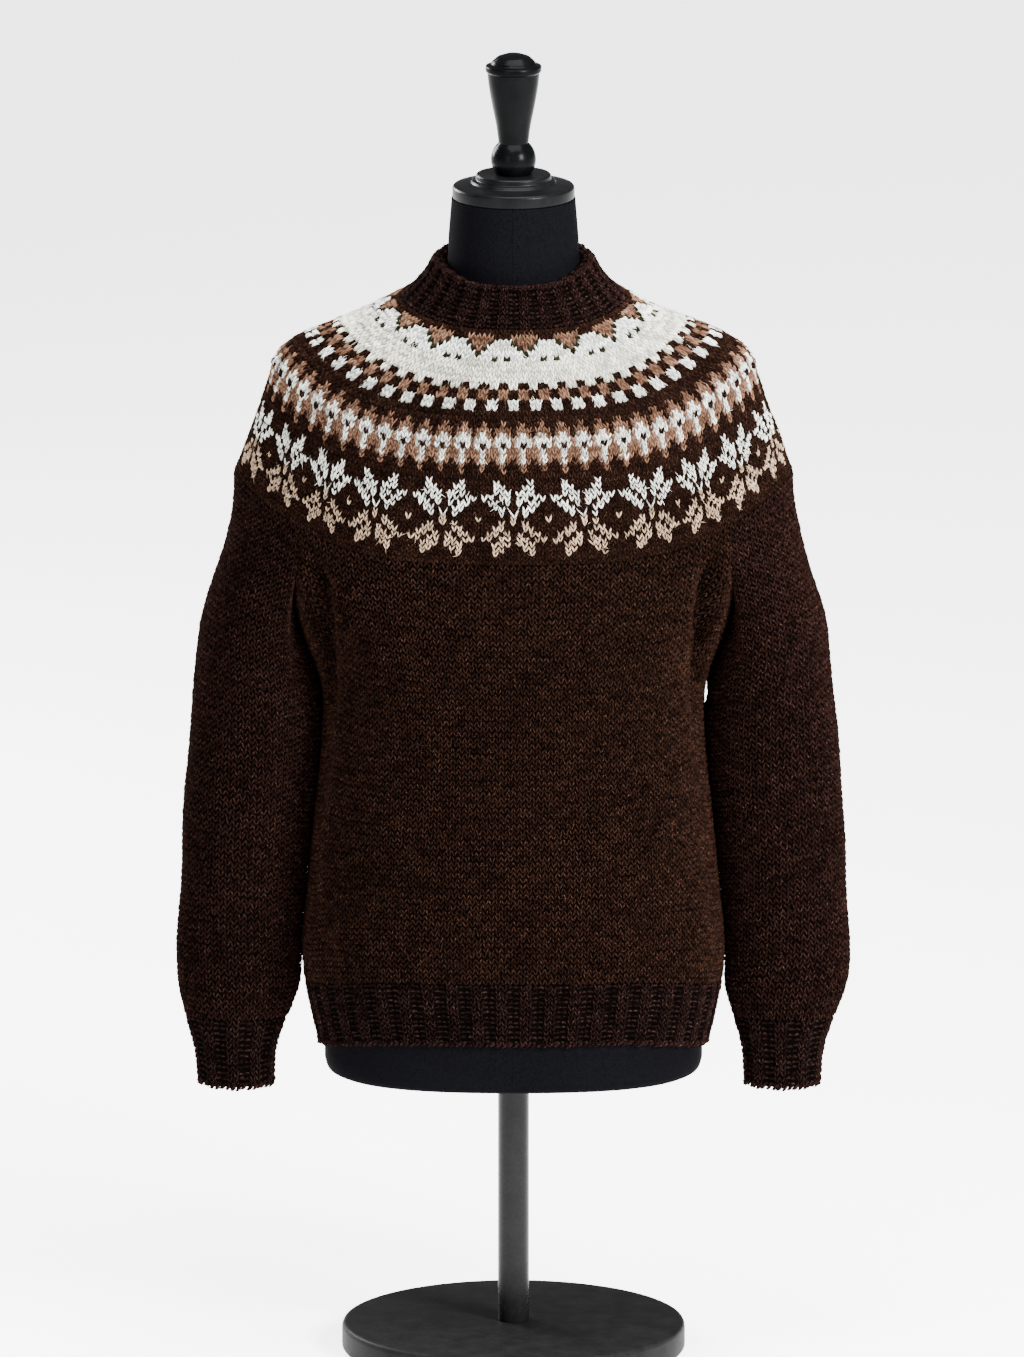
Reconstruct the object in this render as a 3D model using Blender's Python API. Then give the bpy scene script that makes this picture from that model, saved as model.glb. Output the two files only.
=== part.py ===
"""A hand-knit Icelandic yoke sweater on a limbless dress form, in metres, +Z up.

The wearer would face -Y. The origin is the centre of the base's underside. The cloth is a
thin wall all round: a body tube and two hanging sleeves that meet in one circular yoke,
with 2x2 ribs at hem, cuffs and neck. It rests on the form's shoulders.
"""

import math

import bmesh
import bpy
import numpy as np

# Driving dimensions
WALL = 0.0030  # stocking stitch in bulky wool
RIB_WALL = 0.0028  # under the valleys of a rib
SEAM = 0.0003  # between two joined pieces
SEAT = 0.0006  # between the cloth and the form
BASE_RADIUS = 0.155
BASE_HEIGHT = 0.025
POLE_RADIUS = 0.0141
FORM_BOTTOM = 0.260
NECK_TOP = 1.0615
RIB_HEIGHT = 0.058  # of the hem
CUFF_TOP = 0.311
CUFF_BOTTOM = 0.248
LEFT_CUFF_INWARD = 0.0075  # the left cuff hangs this much nearer to the body

# Where the lower edge of the hem lies: it rides up at the front
HEM_SIDE_Z, HEM_FRONT_Z, HEM_BACK_Z = 0.290, 0.308, 0.300

# Ribs: repeats of two knit and two purl stitches, and how far the knit ones stand out
HEM_RIBS, HEM_RISE = 46, 0.0020
CUFF_RIBS, CUFF_RISE = 10, 0.0018
NECK_RIBS, NECK_RISE = 28, 0.0018
FINE_RIB = (0, 1, 1)  # points of one repeat: a narrow valley and a flat ridge
WIDE_RIB = (0, 1, 1, 0)

# Angles round the yoke from the front centre to the underarm, closest at the underarm
# fold, and then to the top of the arm. The other three quarters mirror these.
FRONT_ANGLES = (0, 8, 16, 24, 31, 36, 40, 43, 46, 50.5)
ARM_STEPS = 7
UNDERARM_STEPS = 8
UNDERARM_DIP = 0.046  # how far the underarm lies below its two ends
UNDERARM_BULGE = 0.007

# The upright fold in front of each underarm, and behind it
FOLD_ANGLE, FOLD_WIDTH, FOLD_DEPTH = 43.0, 3.0, 0.011
FOLD_LOW, FOLD_HIGH = 0.620, 0.765

# One yoke round in each row: knit rows down from the neckband, then its half width and
# height over the arm, its depth and height at the front centre, and the same at the back
YOKE_ROUNDS = (
    # row, side_x, side_z, front_y, front_z, back_y, back_z
    (0.0, 0.1015, 0.9705, 0.0880, 0.9590, 0.0800, 0.9850),
    (5.5, 0.1280, 0.9595, 0.1010, 0.9350, 0.0915, 0.9640),
    (11.0, 0.1620, 0.9465, 0.1130, 0.9110, 0.1020, 0.9390),
    (16.5, 0.1955, 0.9320, 0.1215, 0.8860, 0.1100, 0.9100),
    (20.0, 0.2110, 0.9190, 0.1250, 0.8690, 0.1130, 0.8900),
    (24.0, 0.2185, 0.8990, 0.1270, 0.8490, 0.1150, 0.8660),
    (28.5, 0.2255, 0.8780, 0.1280, 0.8290, 0.1155, 0.8430),
    (35.0, 0.2360, 0.8490, 0.1285, 0.7960, 0.1150, 0.8090),
    (42.5, 0.2465, 0.8200, 0.1285, 0.7600, 0.1145, 0.7740),
    (44.5, 0.2500, 0.8110, 0.1285, 0.7520, 0.1140, 0.7660),
)
SHOULDER_ROW = 20.0  # the form carries the cloth down to this row

# The body tube at a few heights of its side, from the rib to the underarm
BODY_SECTIONS = (
    # height, half_width, front, back, squareness
    (0.348, 0.1880, 0.1300, 0.1210, 2.5),
    (0.375, 0.1895, 0.1325, 0.1235, 2.5),
    (0.430, 0.1850, 0.1320, 0.1215, 2.5),
    (0.500, 0.1785, 0.1305, 0.1185, 2.5),
    (0.570, 0.1720, 0.1295, 0.1160, 2.5),
    (0.620, 0.1715, 0.1290, 0.1150, 2.6),
    (0.660, 0.1780, 0.1290, 0.1145, 2.8),
    (0.700, 0.1890, 0.1288, 0.1142, 3.2),
    (0.733, 0.1960, 0.1285, 0.1140, 3.6),
)
BODY_ROWS = 11
BODY_BLEND_FROM = 0.66  # share of the height from which it turns into the yoke's round

# The hem rib between its lower edge (0) and the body (1)
HEM_SECTIONS = (
    # share, half_width, front, back, squareness
    (0.0, 0.1760, 0.1195, 0.1155, 2.5),
    (0.5, 0.1828, 0.1252, 0.1190, 2.5),
    (1.0, 0.1885, 0.1305, 0.1215, 2.5),
)

# The right sleeve at a few heights, from cuff to underarm
SLEEVE_SECTIONS = (
    # height, outer_x, inner_x, half_depth
    (CUFF_TOP, 0.2955, 0.2040, 0.0365),
    (0.335, 0.3010, 0.1955, 0.0410),
    (0.375, 0.3025, 0.1918, 0.0430),
    (0.430, 0.2995, 0.1885, 0.0455),
    (0.500, 0.2950, 0.1810, 0.0505),
    (0.560, 0.2905, 0.1750, 0.0550),
    (0.620, 0.2850, 0.1755, 0.0620),
    (0.680, 0.2770, 0.1865, 0.0690),
    (0.730, 0.2690, 0.2000, 0.0745),
    (0.780, 0.2590, 0.2040, 0.0775),
)
SLEEVE_ROWS = 12
SLEEVE_BLEND_FROM = 0.70

CUFF_SECTIONS = (
    # height, outer_x, inner_x, half_depth
    (CUFF_BOTTOM, 0.2845, 0.2155, 0.0320),
    (0.280, 0.2880, 0.2135, 0.0335),
    (CUFF_TOP - SEAM, 0.2965, 0.2030, 0.0375),
)

# The form from its flat underside up to the armholes, where it turns into the shoulders
FORM_SECTIONS = (
    # side_x, side_z, front_y, front_z, back_y, back_z, squareness
    (0.1600, 0.2600, 0.1050, 0.2600, 0.1010, 0.2600, 2.5),
    (0.1675, 0.2640, 0.1115, 0.2640, 0.1075, 0.2640, 2.5),
    (0.1703, 0.2720, 0.1138, 0.2720, 0.1098, 0.2720, 2.5),
    (0.1703, 0.3100, 0.1138, 0.3100, 0.1098, 0.3100, 2.5),
    (0.1670, 0.3800, 0.1120, 0.3800, 0.1060, 0.3800, 2.5),
    (0.1560, 0.4700, 0.1070, 0.4700, 0.0960, 0.4700, 2.4),
    (0.1530, 0.5600, 0.1090, 0.5600, 0.0930, 0.5600, 2.4),
    (0.1590, 0.6500, 0.1180, 0.6500, 0.0990, 0.6500, 2.4),
    (0.1660, 0.7300, 0.1215, 0.7300, 0.1050, 0.7300, 2.4),
    (0.1770, 0.8000, 0.1185, 0.7900, 0.1050, 0.7950, 2.2),
    (0.1930, 0.8700, 0.1150, 0.8350, 0.1030, 0.8500, 2.0),
)
# The form's neck above the yoke, and the inside of the neckband that lies on it
NECK_SECTIONS = (
    # side_x, side_z, front_y, front_z, back_y, back_z
    (0.0790, 0.9775, 0.0730, 0.9640, 0.0680, 0.9900),
    (0.0650, 0.9885, 0.0640, 0.9760, 0.0610, 0.9990),
    (0.0605, 0.9995, 0.0605, 0.9870, 0.0595, 1.0070),
)
NECK_TOP_RADIUS = 0.0556
NECK_THROAT_RADIUS, NECK_THROAT_Z = 0.0585, 1.0250

# The outside of the doubled neckband over the yoke's first round, up and over its edge
NECKBAND_SECTIONS = (
    # side_x, side_z, front_y, front_z, back_y, back_z
    (0.0890, 0.9822, 0.0815, 0.9720, 0.0765, 0.9950),
    (0.0765, 0.9985, 0.0745, 0.9860, 0.0725, 1.0070),
    (0.0715, 1.0070, 0.0705, 0.9940, 0.0695, 1.0135),
    (0.0650, 1.0065, 0.0650, 0.9935, 0.0640, 1.0130),
)
NECKBAND_RIB_SHARES = (0.6, 1.0, 1.0, 0.5, 0.0)  # how far the ribs stand out in each

# Turned profiles from the bottom up, after each piece's own lower face
CAP_PROFILE = (
    # radius, height
    (0.0541, 1.0618),
    (0.0549, 1.0626),
    (0.0549, 1.0712),
    (0.0538, 1.0730),
    (0.0465, 1.0742),
    (0.0385, 1.0752),
    (0.0372, 1.0775),
    (0.0338, 1.0785),
    (0.0338, 1.0824),
    (0.0326, 1.0835),
)
BALL_RADIUS, BALL_Z = 0.0203, 1.0966
BALL_STEPS = 7
FINIAL_BOTTOM = 1.0838
FINIAL_PROFILE = (
    # radius, height, above the ball
    (0.0135, 1.1120),
    (0.0152, 1.1255),
    (0.0190, 1.1450),
    (0.0222, 1.1635),
    (0.0236, 1.1760),
    (0.0252, 1.1775),
    (0.0252, 1.1825),
    (0.0205, 1.1838),
    (0.0192, 1.1862),
    (0.0145, 1.1905),
    (0.0070, 1.1930),
)
BASE_PROFILE = (
    # radius, height
    (BASE_RADIUS - 0.0020, 0.0),
    (BASE_RADIUS, 0.0025),
    (BASE_RADIUS, BASE_HEIGHT - 0.0045),
    (BASE_RADIUS - 0.0015, BASE_HEIGHT - 0.0010),
    (BASE_RADIUS - 0.0050, BASE_HEIGHT),
)

# Colour, roughness and metallic value of each material
MATERIALS = {
    "body_wool": ((0.020, 0.012, 0.008), 0.95, 0.0),
    "sleeve_wool": ((0.020, 0.011, 0.010), 0.95, 0.0),
    "yoke_wool": ((0.180, 0.150, 0.130), 0.95, 0.0),
    "form_jersey": ((0.020, 0.020, 0.023), 0.90, 0.0),
    "satin_black": ((0.010, 0.010, 0.011), 0.35, 0.0),
    "pole_black": ((0.010, 0.010, 0.010), 0.30, 0.6),
    "base_charcoal": ((0.024, 0.024, 0.024), 0.60, 0.0),
}


def smoothstep(share):
    share = np.clip(share, 0.0, 1.0)
    return share * share * (3.0 - 2.0 * share)


def read_table(table, places):
    """The table's later columns as smooth curves of its first one, read at these places."""
    rows = np.array(table, float)
    keys, values = rows[:, 0], rows[:, 1:]
    slopes = np.gradient(values, keys, axis=0)
    places = np.asarray(places, float)
    i = np.clip(np.searchsorted(keys, places, side="right") - 1, 0, len(keys) - 2)
    step = (keys[i + 1] - keys[i])[:, None]
    t = (places - keys[i])[:, None] / step
    start = values[i] * (1 + 2 * t) * (1 - t) ** 2 + slopes[i] * step * t * (1 - t) ** 2
    end = values[i + 1] * t * t * (3 - 2 * t) - slopes[i + 1] * step * t * t * (1 - t)
    return start + end


def signed_power(value, power):
    return np.sign(value) * np.abs(value) ** power


def oval(angles, half_width, front, back, squareness):
    """x and y round a rounded oval. Angle 0 is the front centre, and it runs towards +X."""
    sine, cosine = np.sin(np.radians(angles)), np.cos(np.radians(angles))
    depth = np.where(cosine > 0, front, back)
    x = half_width * signed_power(sine, 2 / squareness)
    return x, -depth * signed_power(cosine, 2 / squareness)


def edge_heights(angles, side_z, front_z, back_z):
    """Heights round an edge that is level near the front and climbs over the arms."""
    cosine = np.cos(np.radians(angles))
    share = smoothstep(np.abs(cosine) ** 1.3)
    return side_z + (np.where(cosine > 0, front_z, back_z) - side_z) * share


def round_points(angles, sizes, squareness=2.0):
    """A round like the yoke's, from side_x, side_z, front_y, front_z, back_y, back_z."""
    side_x, side_z, front_y, front_z, back_y, back_z = sizes
    x, y = oval(angles, side_x, front_y, back_y, squareness)
    return np.stack([x, y, edge_heights(angles, side_z, front_z, back_z)], axis=1)


def outward(rows):
    """Unit normals of a grid of rings, each counter-clockwise from above, bottom ring first."""
    along = np.roll(rows, -1, axis=1) - np.roll(rows, 1, axis=1)
    normals = np.cross(along, np.gradient(rows, axis=0))
    return normals / np.linalg.norm(normals, axis=2, keepdims=True)


def level_ends(normals, *ends):
    """The same normals, made level on the rings where a wall meets the next piece."""
    for end in ends:
        normals[end, :, 2] = 0.0
        normals[end] /= np.linalg.norm(normals[end], axis=1, keepdims=True)
    return normals


def material(name):
    made = bpy.data.materials.get(name)
    if made:
        return made
    colour, roughness, metallic = MATERIALS[name]
    made = bpy.data.materials.new(name)
    made.use_nodes = True
    shader = made.node_tree.nodes["Principled BSDF"]
    shader.inputs["Base Color"].default_value = (*colour, 1.0)
    shader.inputs["Roughness"].default_value = roughness
    shader.inputs["Metallic"].default_value = metallic
    return made


def finish_object(name, shape, material_name, smooth_angle):
    """Turns a bmesh into the named object."""
    bmesh.ops.recalc_face_normals(shape, faces=shape.faces)
    mesh = bpy.data.meshes.new(name)
    shape.to_mesh(mesh)
    shape.free()
    mesh.materials.append(material(material_name))
    mesh.shade_smooth()
    mesh.set_sharp_from_angle(angle=math.radians(smooth_angle))
    made = bpy.data.objects.new(name, mesh)
    bpy.context.scene.collection.objects.link(made)
    return made


def ring_solid(name, rings, material_name, outside=None, smooth_angle=60):
    """A closed solid through rings of equal count, capped at its ends. It is a looped wall
    where outside gives how many of its rings lie outside, and then both sides of the wall
    are split along the same diagonals."""
    shape = bmesh.new()
    loops = [[shape.verts.new(point) for point in ring] for ring in rings]
    pairs = list(zip(loops, loops[1:] + loops[:1]))
    count = len(loops[0])
    for place, (low, high) in enumerate(pairs if outside else pairs[:-1]):
        for i in range(count):
            j = (i + 1) % count
            if outside and place >= outside:
                shape.faces.new((low[i], low[j], high[i]))
                shape.faces.new((low[j], high[j], high[i]))
            else:
                shape.faces.new((low[i], low[j], high[j]))
                shape.faces.new((low[i], high[j], high[i]))
    if not outside:
        shape.faces.new(loops[0][::-1])
        shape.faces.new(loops[-1])
    return finish_object(name, shape, material_name, smooth_angle)


def turned(name, profile, steps, material_name):
    """A solid of revolution about +Z from (radius, height) pairs, bottom to top."""
    shape = bmesh.new()
    path = [(0.0, profile[0][1]), *profile, (0.0, profile[-1][1])]
    corners = [shape.verts.new((radius, 0.0, height)) for radius, height in path]
    edges = [shape.edges.new(pair) for pair in zip(corners, corners[1:])]
    bmesh.ops.spin(
        shape,
        geom=corners + edges,
        axis=(0, 0, 1),
        cent=(0, 0, 0),
        steps=steps,
        angle=2 * math.pi,
        use_merge=True,
    )
    bmesh.ops.remove_doubles(shape, verts=shape.verts, dist=1e-6)
    return finish_object(name, shape, material_name, 35)


def yoke_angles():
    """Angles all round the yoke, counter-clockwise from the front centre."""
    arm = np.linspace(FRONT_ANGLES[-1], 90, ARM_STEPS + 1)[1:]
    quarter = np.concatenate([FRONT_ANGLES, arm])
    half = np.concatenate([quarter, 180 - quarter[-2::-1]])
    return np.concatenate([half, 360 - half[-2:0:-1]])


def yoke_grid():
    """The yoke's outside with its lowest round first, and the normals of its wall."""
    rows = np.array([round_points(yoke_angles(), row[1:]) for row in reversed(YOKE_ROUNDS)])
    return rows, level_ends(outward(rows), 0)


def underarm_curve():
    """Points under the right-hand arm (+X), between the yoke's two ends there, front to back."""
    angle = FRONT_ANGLES[-1]
    ends = round_points(np.array([angle, 180 - angle]), YOKE_ROUNDS[-1][1:])
    share = np.arange(1, UNDERARM_STEPS)[:, None] / UNDERARM_STEPS
    points = ends[0] + (ends[1] - ends[0]) * share
    arch = np.sin(math.pi * share[:, 0])
    points[:, 0] += UNDERARM_BULGE * arch
    points[:, 2] -= UNDERARM_DIP * arch**0.6
    return points


def body_loop(base, under):
    """The body's upper edge: a yoke ring at front and back, and the two underarms."""
    front = len(FRONT_ANGLES) - 1
    middle_back = 2 * (front + ARM_STEPS)
    mirrored = under[::-1] * (-1, 1, 1)
    back = base[middle_back - front : middle_back + front + 1]
    ring = np.concatenate([base[: front + 1], under, back, mirrored, base[-front:]])
    return ring - (0, 0, SEAM)


def body_angles():
    """The body's own angles for the points of body_top, which bunch at the folds too."""
    front = len(FRONT_ANGLES) - 1
    points = 4 * front + 2 * UNDERARM_STEPS
    corner = 360 * front / points
    towards = np.array(FRONT_ANGLES) * corner / FRONT_ANGLES[-1]
    under = np.linspace(corner, 180 - corner, UNDERARM_STEPS + 1)[1:]
    half = np.concatenate([towards, under, 180 - towards[-2::-1]])
    return np.concatenate([half, 360 - half[-2:0:-1]])


def fold_share(angles):
    """How much of the underarm fold's groove falls on each of the body's columns."""
    from_front = np.abs((angles + 90) % 180 - 90)
    front = len(FRONT_ANGLES) - 1
    scale = FRONT_ANGLES[-1] / (360 * front / (4 * front + 2 * UNDERARM_STEPS))
    return np.exp(-(((from_front * scale - FOLD_ANGLE) / FOLD_WIDTH) ** 2))


def body_grid():
    angles = body_angles()
    top = body_loop(yoke_grid()[0][0], underarm_curve())
    low_z = edge_heights(angles, HEM_SIDE_Z, HEM_FRONT_Z, HEM_BACK_Z) + RIB_HEIGHT
    span = BODY_SECTIONS[-1][0] - BODY_SECTIONS[0][0]
    rows = []
    for share in np.linspace(0, 1, BODY_ROWS):
        section = read_table(BODY_SECTIONS, [BODY_SECTIONS[0][0] + span * share])[0]
        x, y = oval(angles, *section)
        z = low_z + (top[:, 2] - low_z) * share
        blend = smoothstep((share - BODY_BLEND_FROM) / (1 - BODY_BLEND_FROM))
        x = x + (top[:, 0] - x) * blend
        y = y + (top[:, 1] - y) * blend
        middle = (FOLD_LOW + FOLD_HIGH) / 2
        reach = np.clip(1 - ((z - middle) / (FOLD_HIGH - middle)) ** 2, 0, 1)
        reach = reach * min(1.0, (1 - share) * BODY_ROWS)
        y = y - np.sign(y) * FOLD_DEPTH * fold_share(angles) * np.sqrt(reach)
        rows.append(np.stack([x, y, z], axis=1))
    return np.array(rows)


def body():
    rows = body_grid()
    inside = rows - WALL * level_ends(outward(rows), 0, -1)
    base, normals = yoke_grid()
    front = len(FRONT_ANGLES) - 1
    under = inside[-1, front + 1 : front + UNDERARM_STEPS] + (0, 0, SEAM)
    inside[-1] = body_loop(base[0] - WALL * normals[0], under)
    ring_solid("body", [*rows, *inside[::-1]], "body_wool", len(rows))


def ribs(count, rise, repeat):
    """The angles of a ribbed ring, and how far each of its points stands out."""
    places = np.arange(count * len(repeat)) / len(repeat)
    return places * 360 / count, rise * np.tile(np.array(repeat, float), count)


def rib_rings(rows, normals, rise):
    """A rib's wall: the outside moved out by the ribs, and a plain inside."""
    outside = rows + normals * rise[:, None]
    return [*outside, rows[-1] - RIB_WALL * normals[-1], rows[0] - RIB_WALL * normals[0]]


def hem_rib():
    angles, rise = ribs(HEM_RIBS, HEM_RISE, FINE_RIB)
    low_z = edge_heights(angles, HEM_SIDE_Z, HEM_FRONT_Z, HEM_BACK_Z)
    rows = []
    for share, half_width, front, back, squareness in HEM_SECTIONS:
        sizes = (half_width - HEM_RISE, front - HEM_RISE, back - HEM_RISE)
        x, y = oval(angles, *sizes, squareness)
        rows.append(np.stack([x, y, low_z + (RIB_HEIGHT - SEAM) * share], axis=1))
    rows = np.array(rows)
    rings = rib_rings(rows, level_ends(outward(rows), 0, -1), rise)
    ring_solid("hem_rib", rings, "body_wool", len(rows))


def sleeve_ring(angles, outer_x, inner_x, half_depth, height):
    centre, half = (outer_x + inner_x) / 2, (outer_x - inner_x) / 2
    x = centre + half * np.cos(np.radians(angles))
    y = half_depth * np.sin(np.radians(angles))
    return np.stack([x, y, np.full(len(angles), height)], axis=1)


def sleeve_loop(base, under):
    """The sleeve's upper edge on the +X side, counter-clockwise from the outermost point."""
    quarter = len(FRONT_ANGLES) - 1 + ARM_STEPS
    back = base[quarter : quarter + ARM_STEPS + 1]
    front = base[quarter - ARM_STEPS : quarter]
    return np.concatenate([back, under[::-1], front]) + (SEAM, 0, -SEAM)


def sleeve_grid():
    top = sleeve_loop(yoke_grid()[0][0], underarm_curve() + (2 * SEAM, 0, 0))
    angles = np.arange(len(top)) * 360 / len(top)
    rows = []
    low = SLEEVE_SECTIONS[0][0]
    for share in np.linspace(0, 1, SLEEVE_ROWS):
        section = read_table(SLEEVE_SECTIONS, [low + (SLEEVE_SECTIONS[-1][0] - low) * share])[0]
        ring = sleeve_ring(angles, *section, low)
        ring[:, 2] = low + (top[:, 2] - low) * share
        blend = smoothstep((share - SLEEVE_BLEND_FROM) / (1 - SLEEVE_BLEND_FROM))
        ring[:, :2] += (top[:, :2] - ring[:, :2]) * blend
        rows.append(ring)
    return np.array(rows)


def sleeve_rings():
    """Up the sleeve's outside, over its edge under the yoke, and down its inside."""
    rows = sleeve_grid()
    inside = rows - WALL * level_ends(outward(rows), 0, -1)
    base, normals = yoke_grid()
    under = inside[-1, ARM_STEPS + 1 : ARM_STEPS + UNDERARM_STEPS][::-1] + (-SEAM, 0, SEAM)
    inside[-1] = sleeve_loop(base[0] - WALL * normals[0], under)
    return [*rows, *inside[::-1]]


def cuff_rings():
    angles, rise = ribs(CUFF_RIBS, CUFF_RISE, WIDE_RIB)
    rows = []
    for height, outer_x, inner_x, half_depth in CUFF_SECTIONS:
        sizes = (outer_x - CUFF_RISE, inner_x + CUFF_RISE, half_depth - CUFF_RISE)
        rows.append(sleeve_ring(angles, *sizes, height))
    rows = np.array(rows)
    return rib_rings(rows, level_ends(outward(rows), 0, -1), rise)


def hang(rings, side):
    """A sleeve's or cuff's rings on one side: right (-X) is mirrored, left hangs inward."""
    moved = []
    for ring in rings:
        ring = ring.copy()
        if side == "left":
            drop = smoothstep((0.375 - ring[:, 2]) / (0.375 - 0.275))
            ring[:, 0] -= LEFT_CUFF_INWARD * drop
        else:
            ring = np.concatenate([ring[:1], ring[:0:-1]]) * (-1, 1, 1)
        moved.append(ring)
    return moved


def sleeves():
    for side in ("left", "right"):
        ring_solid(f"sleeve_{side}", hang(sleeve_rings(), side), "sleeve_wool", SLEEVE_ROWS)
        ring_solid(f"cuff_{side}", hang(cuff_rings(), side), "sleeve_wool", len(CUFF_SECTIONS))


def yoke():
    rows, normals = yoke_grid()
    inside = rows - WALL * normals
    ring_solid("yoke", [*rows, *inside[::-1]], "yoke_wool", len(rows))


def neckband():
    """The doubled collar: ribbed outside, over its round edge, and down along the neck."""
    angles, rise = ribs(NECK_RIBS, NECK_RISE, FINE_RIB)
    top = YOKE_ROUNDS[0][1:]
    outside = np.array([round_points(angles, each) for each in (top, *NECKBAND_SECTIONS)])
    normals = outward(outside)
    inward = outside[0] * (1, 1, 0)
    inward *= 2 * SEAM / np.linalg.norm(inward, axis=1, keepdims=True)
    outside[0] -= inward
    shares = np.array(NECKBAND_RIB_SHARES)[:, None, None]
    ribbed = outside + normals * shares * (rise - NECK_RISE)[:, None]
    inside = []
    for side_x, side_z, front_y, front_z, back_y, back_z in reversed(NECK_SECTIONS):
        sizes = (side_x + SEAT, side_z, front_y + SEAT, front_z, back_y + SEAT, back_z)
        inside.append(round_points(angles, sizes))
    yoke_edge = np.array([round_points(angles, row[1:]) for row in YOKE_ROUNDS[1::-1]])
    foot = yoke_edge[1] - WALL * outward(yoke_edge)[1] - inward
    ring_solid("neckband", [*ribbed, *inside, foot], "body_wool", len(ribbed))


def form_torso():
    """Flat underside, torso, shoulders under the yoke, and the neck up to the cap."""
    angles = yoke_angles()
    rings = [round_points(angles, each[:6], each[6]) for each in FORM_SECTIONS]
    carried = sum(row[0] <= SHOULDER_ROW for row in YOKE_ROUNDS)
    rows, normals = yoke_grid()
    rings += list((rows - (WALL + SEAT) * normals)[-carried:])
    rings += [round_points(angles, each) for each in NECK_SECTIONS]
    for radius, height in ((NECK_THROAT_RADIUS, NECK_THROAT_Z), (NECK_TOP_RADIUS, NECK_TOP)):
        rings.append(round_points(angles, (radius, height, radius, height, radius, height)))
    ring_solid("form_torso", rings, "form_jersey")


def finial_profile():
    """The ball from its seat up to the neck of the cone, then the cone, collar and dome."""
    low = math.asin((FINIAL_BOTTOM - BALL_Z) / BALL_RADIUS)
    high = math.acos(FINIAL_PROFILE[0][0] / BALL_RADIUS)
    turn = np.linspace(low, high, BALL_STEPS)
    ball = [(BALL_RADIUS * math.cos(a), BALL_Z + BALL_RADIUS * math.sin(a)) for a in turn]
    return [*ball[:-1], *FINIAL_PROFILE]


def stand():
    turned("neck_cap", CAP_PROFILE, 32, "satin_black")
    turned("finial", finial_profile(), 24, "satin_black")
    pole = ((POLE_RADIUS, BASE_HEIGHT + SEAM), (POLE_RADIUS, FORM_BOTTOM - SEAM))
    turned("pole", pole, 24, "pole_black")
    turned("base", BASE_PROFILE, 56, "base_charcoal")


def main():
    for old in list(bpy.data.objects):
        bpy.data.objects.remove(old)
    body()
    hem_rib()
    sleeves()
    yoke()
    neckband()
    form_torso()
    stand()


main()
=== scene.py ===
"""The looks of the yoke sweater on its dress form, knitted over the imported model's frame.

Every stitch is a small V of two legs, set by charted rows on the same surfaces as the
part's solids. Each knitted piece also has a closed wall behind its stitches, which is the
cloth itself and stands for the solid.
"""

import math

import bpy
import numpy as np
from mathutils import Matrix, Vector


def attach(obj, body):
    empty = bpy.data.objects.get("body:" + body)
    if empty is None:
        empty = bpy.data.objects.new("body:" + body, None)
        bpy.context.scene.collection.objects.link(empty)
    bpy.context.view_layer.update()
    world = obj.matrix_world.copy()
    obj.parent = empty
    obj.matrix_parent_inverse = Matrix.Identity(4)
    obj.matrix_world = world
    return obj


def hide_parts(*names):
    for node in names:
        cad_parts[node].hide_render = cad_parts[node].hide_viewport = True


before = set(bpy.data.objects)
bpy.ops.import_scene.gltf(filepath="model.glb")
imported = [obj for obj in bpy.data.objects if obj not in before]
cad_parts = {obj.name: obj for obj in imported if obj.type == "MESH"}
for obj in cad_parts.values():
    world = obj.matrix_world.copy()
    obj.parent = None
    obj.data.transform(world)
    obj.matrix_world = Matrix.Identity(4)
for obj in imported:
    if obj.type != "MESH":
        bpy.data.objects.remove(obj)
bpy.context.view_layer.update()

# Driving dimensions
WALL = 0.003  # stocking stitch in bulky wool
RIB_WALL = 0.0028  # under the valleys of a rib
SEAM = 0.0003  # between two joined pieces
SEAT = 0.0006  # between the cloth and the form
BASE_RADIUS, BASE_HEIGHT = 0.155, 0.025
POLE_RADIUS = 0.0141
FORM_BOTTOM = 0.26
NECK_TOP = 1.0615
RIB_HEIGHT = 0.058  # of the hem
CUFF_BOTTOM, CUFF_TOP = 0.248, 0.311
LEFT_CUFF_INWARD = 0.0075  # the left cuff hangs this much nearer to the body
LEAN_HIGH, LEAN_LOW = 0.375, 0.275  # where it starts to, and where it is all the way there

# Where the lower edge of the hem lies: it rides up at the front
HEM_SIDE_Z, HEM_FRONT_Z, HEM_BACK_Z = 0.29, 0.308, 0.3

# Ribs: repeats of two knit and two purl stitches, and how far the knit ones stand out
HEM_RIBS, HEM_RISE = 46, 0.002
CUFF_RIBS, CUFF_RISE = 10, 0.0018
NECK_RIBS, NECK_RISE = 28, 0.0018
RIB_CENTRE, CUFF_CENTRE = 0.5, 0.375  # of a ridge, as a share of one repeat
RIB_WIDTH = 0.26  # the slope of a rib, as a share of one repeat

# Angles round the yoke from the front centre to the underarm, closest at the underarm
# fold, and then to the top of the arm. The other three quarters mirror these.
FRONT_ANGLES = (0, 8, 16, 24, 31, 36, 40, 43, 46, 50.5)
ARM_STEPS = 7
UNDERARM_STEPS = 8
UNDERARM_DIP = 0.046  # how far the underarm lies below its two ends
UNDERARM_BULGE = 0.007
FRONT_STEPS = len(FRONT_ANGLES) - 1
# The body's own angle for the front end of an underarm
BODY_CORNER = 360 * FRONT_STEPS / (4 * FRONT_STEPS + 2 * UNDERARM_STEPS)

# The upright fold in front of each underarm, and behind it
FOLD_ANGLE, FOLD_WIDTH, FOLD_DEPTH = 43.0, 3.0, 0.0015
FOLD_LOW, FOLD_HIGH = 0.62, 0.765

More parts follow.
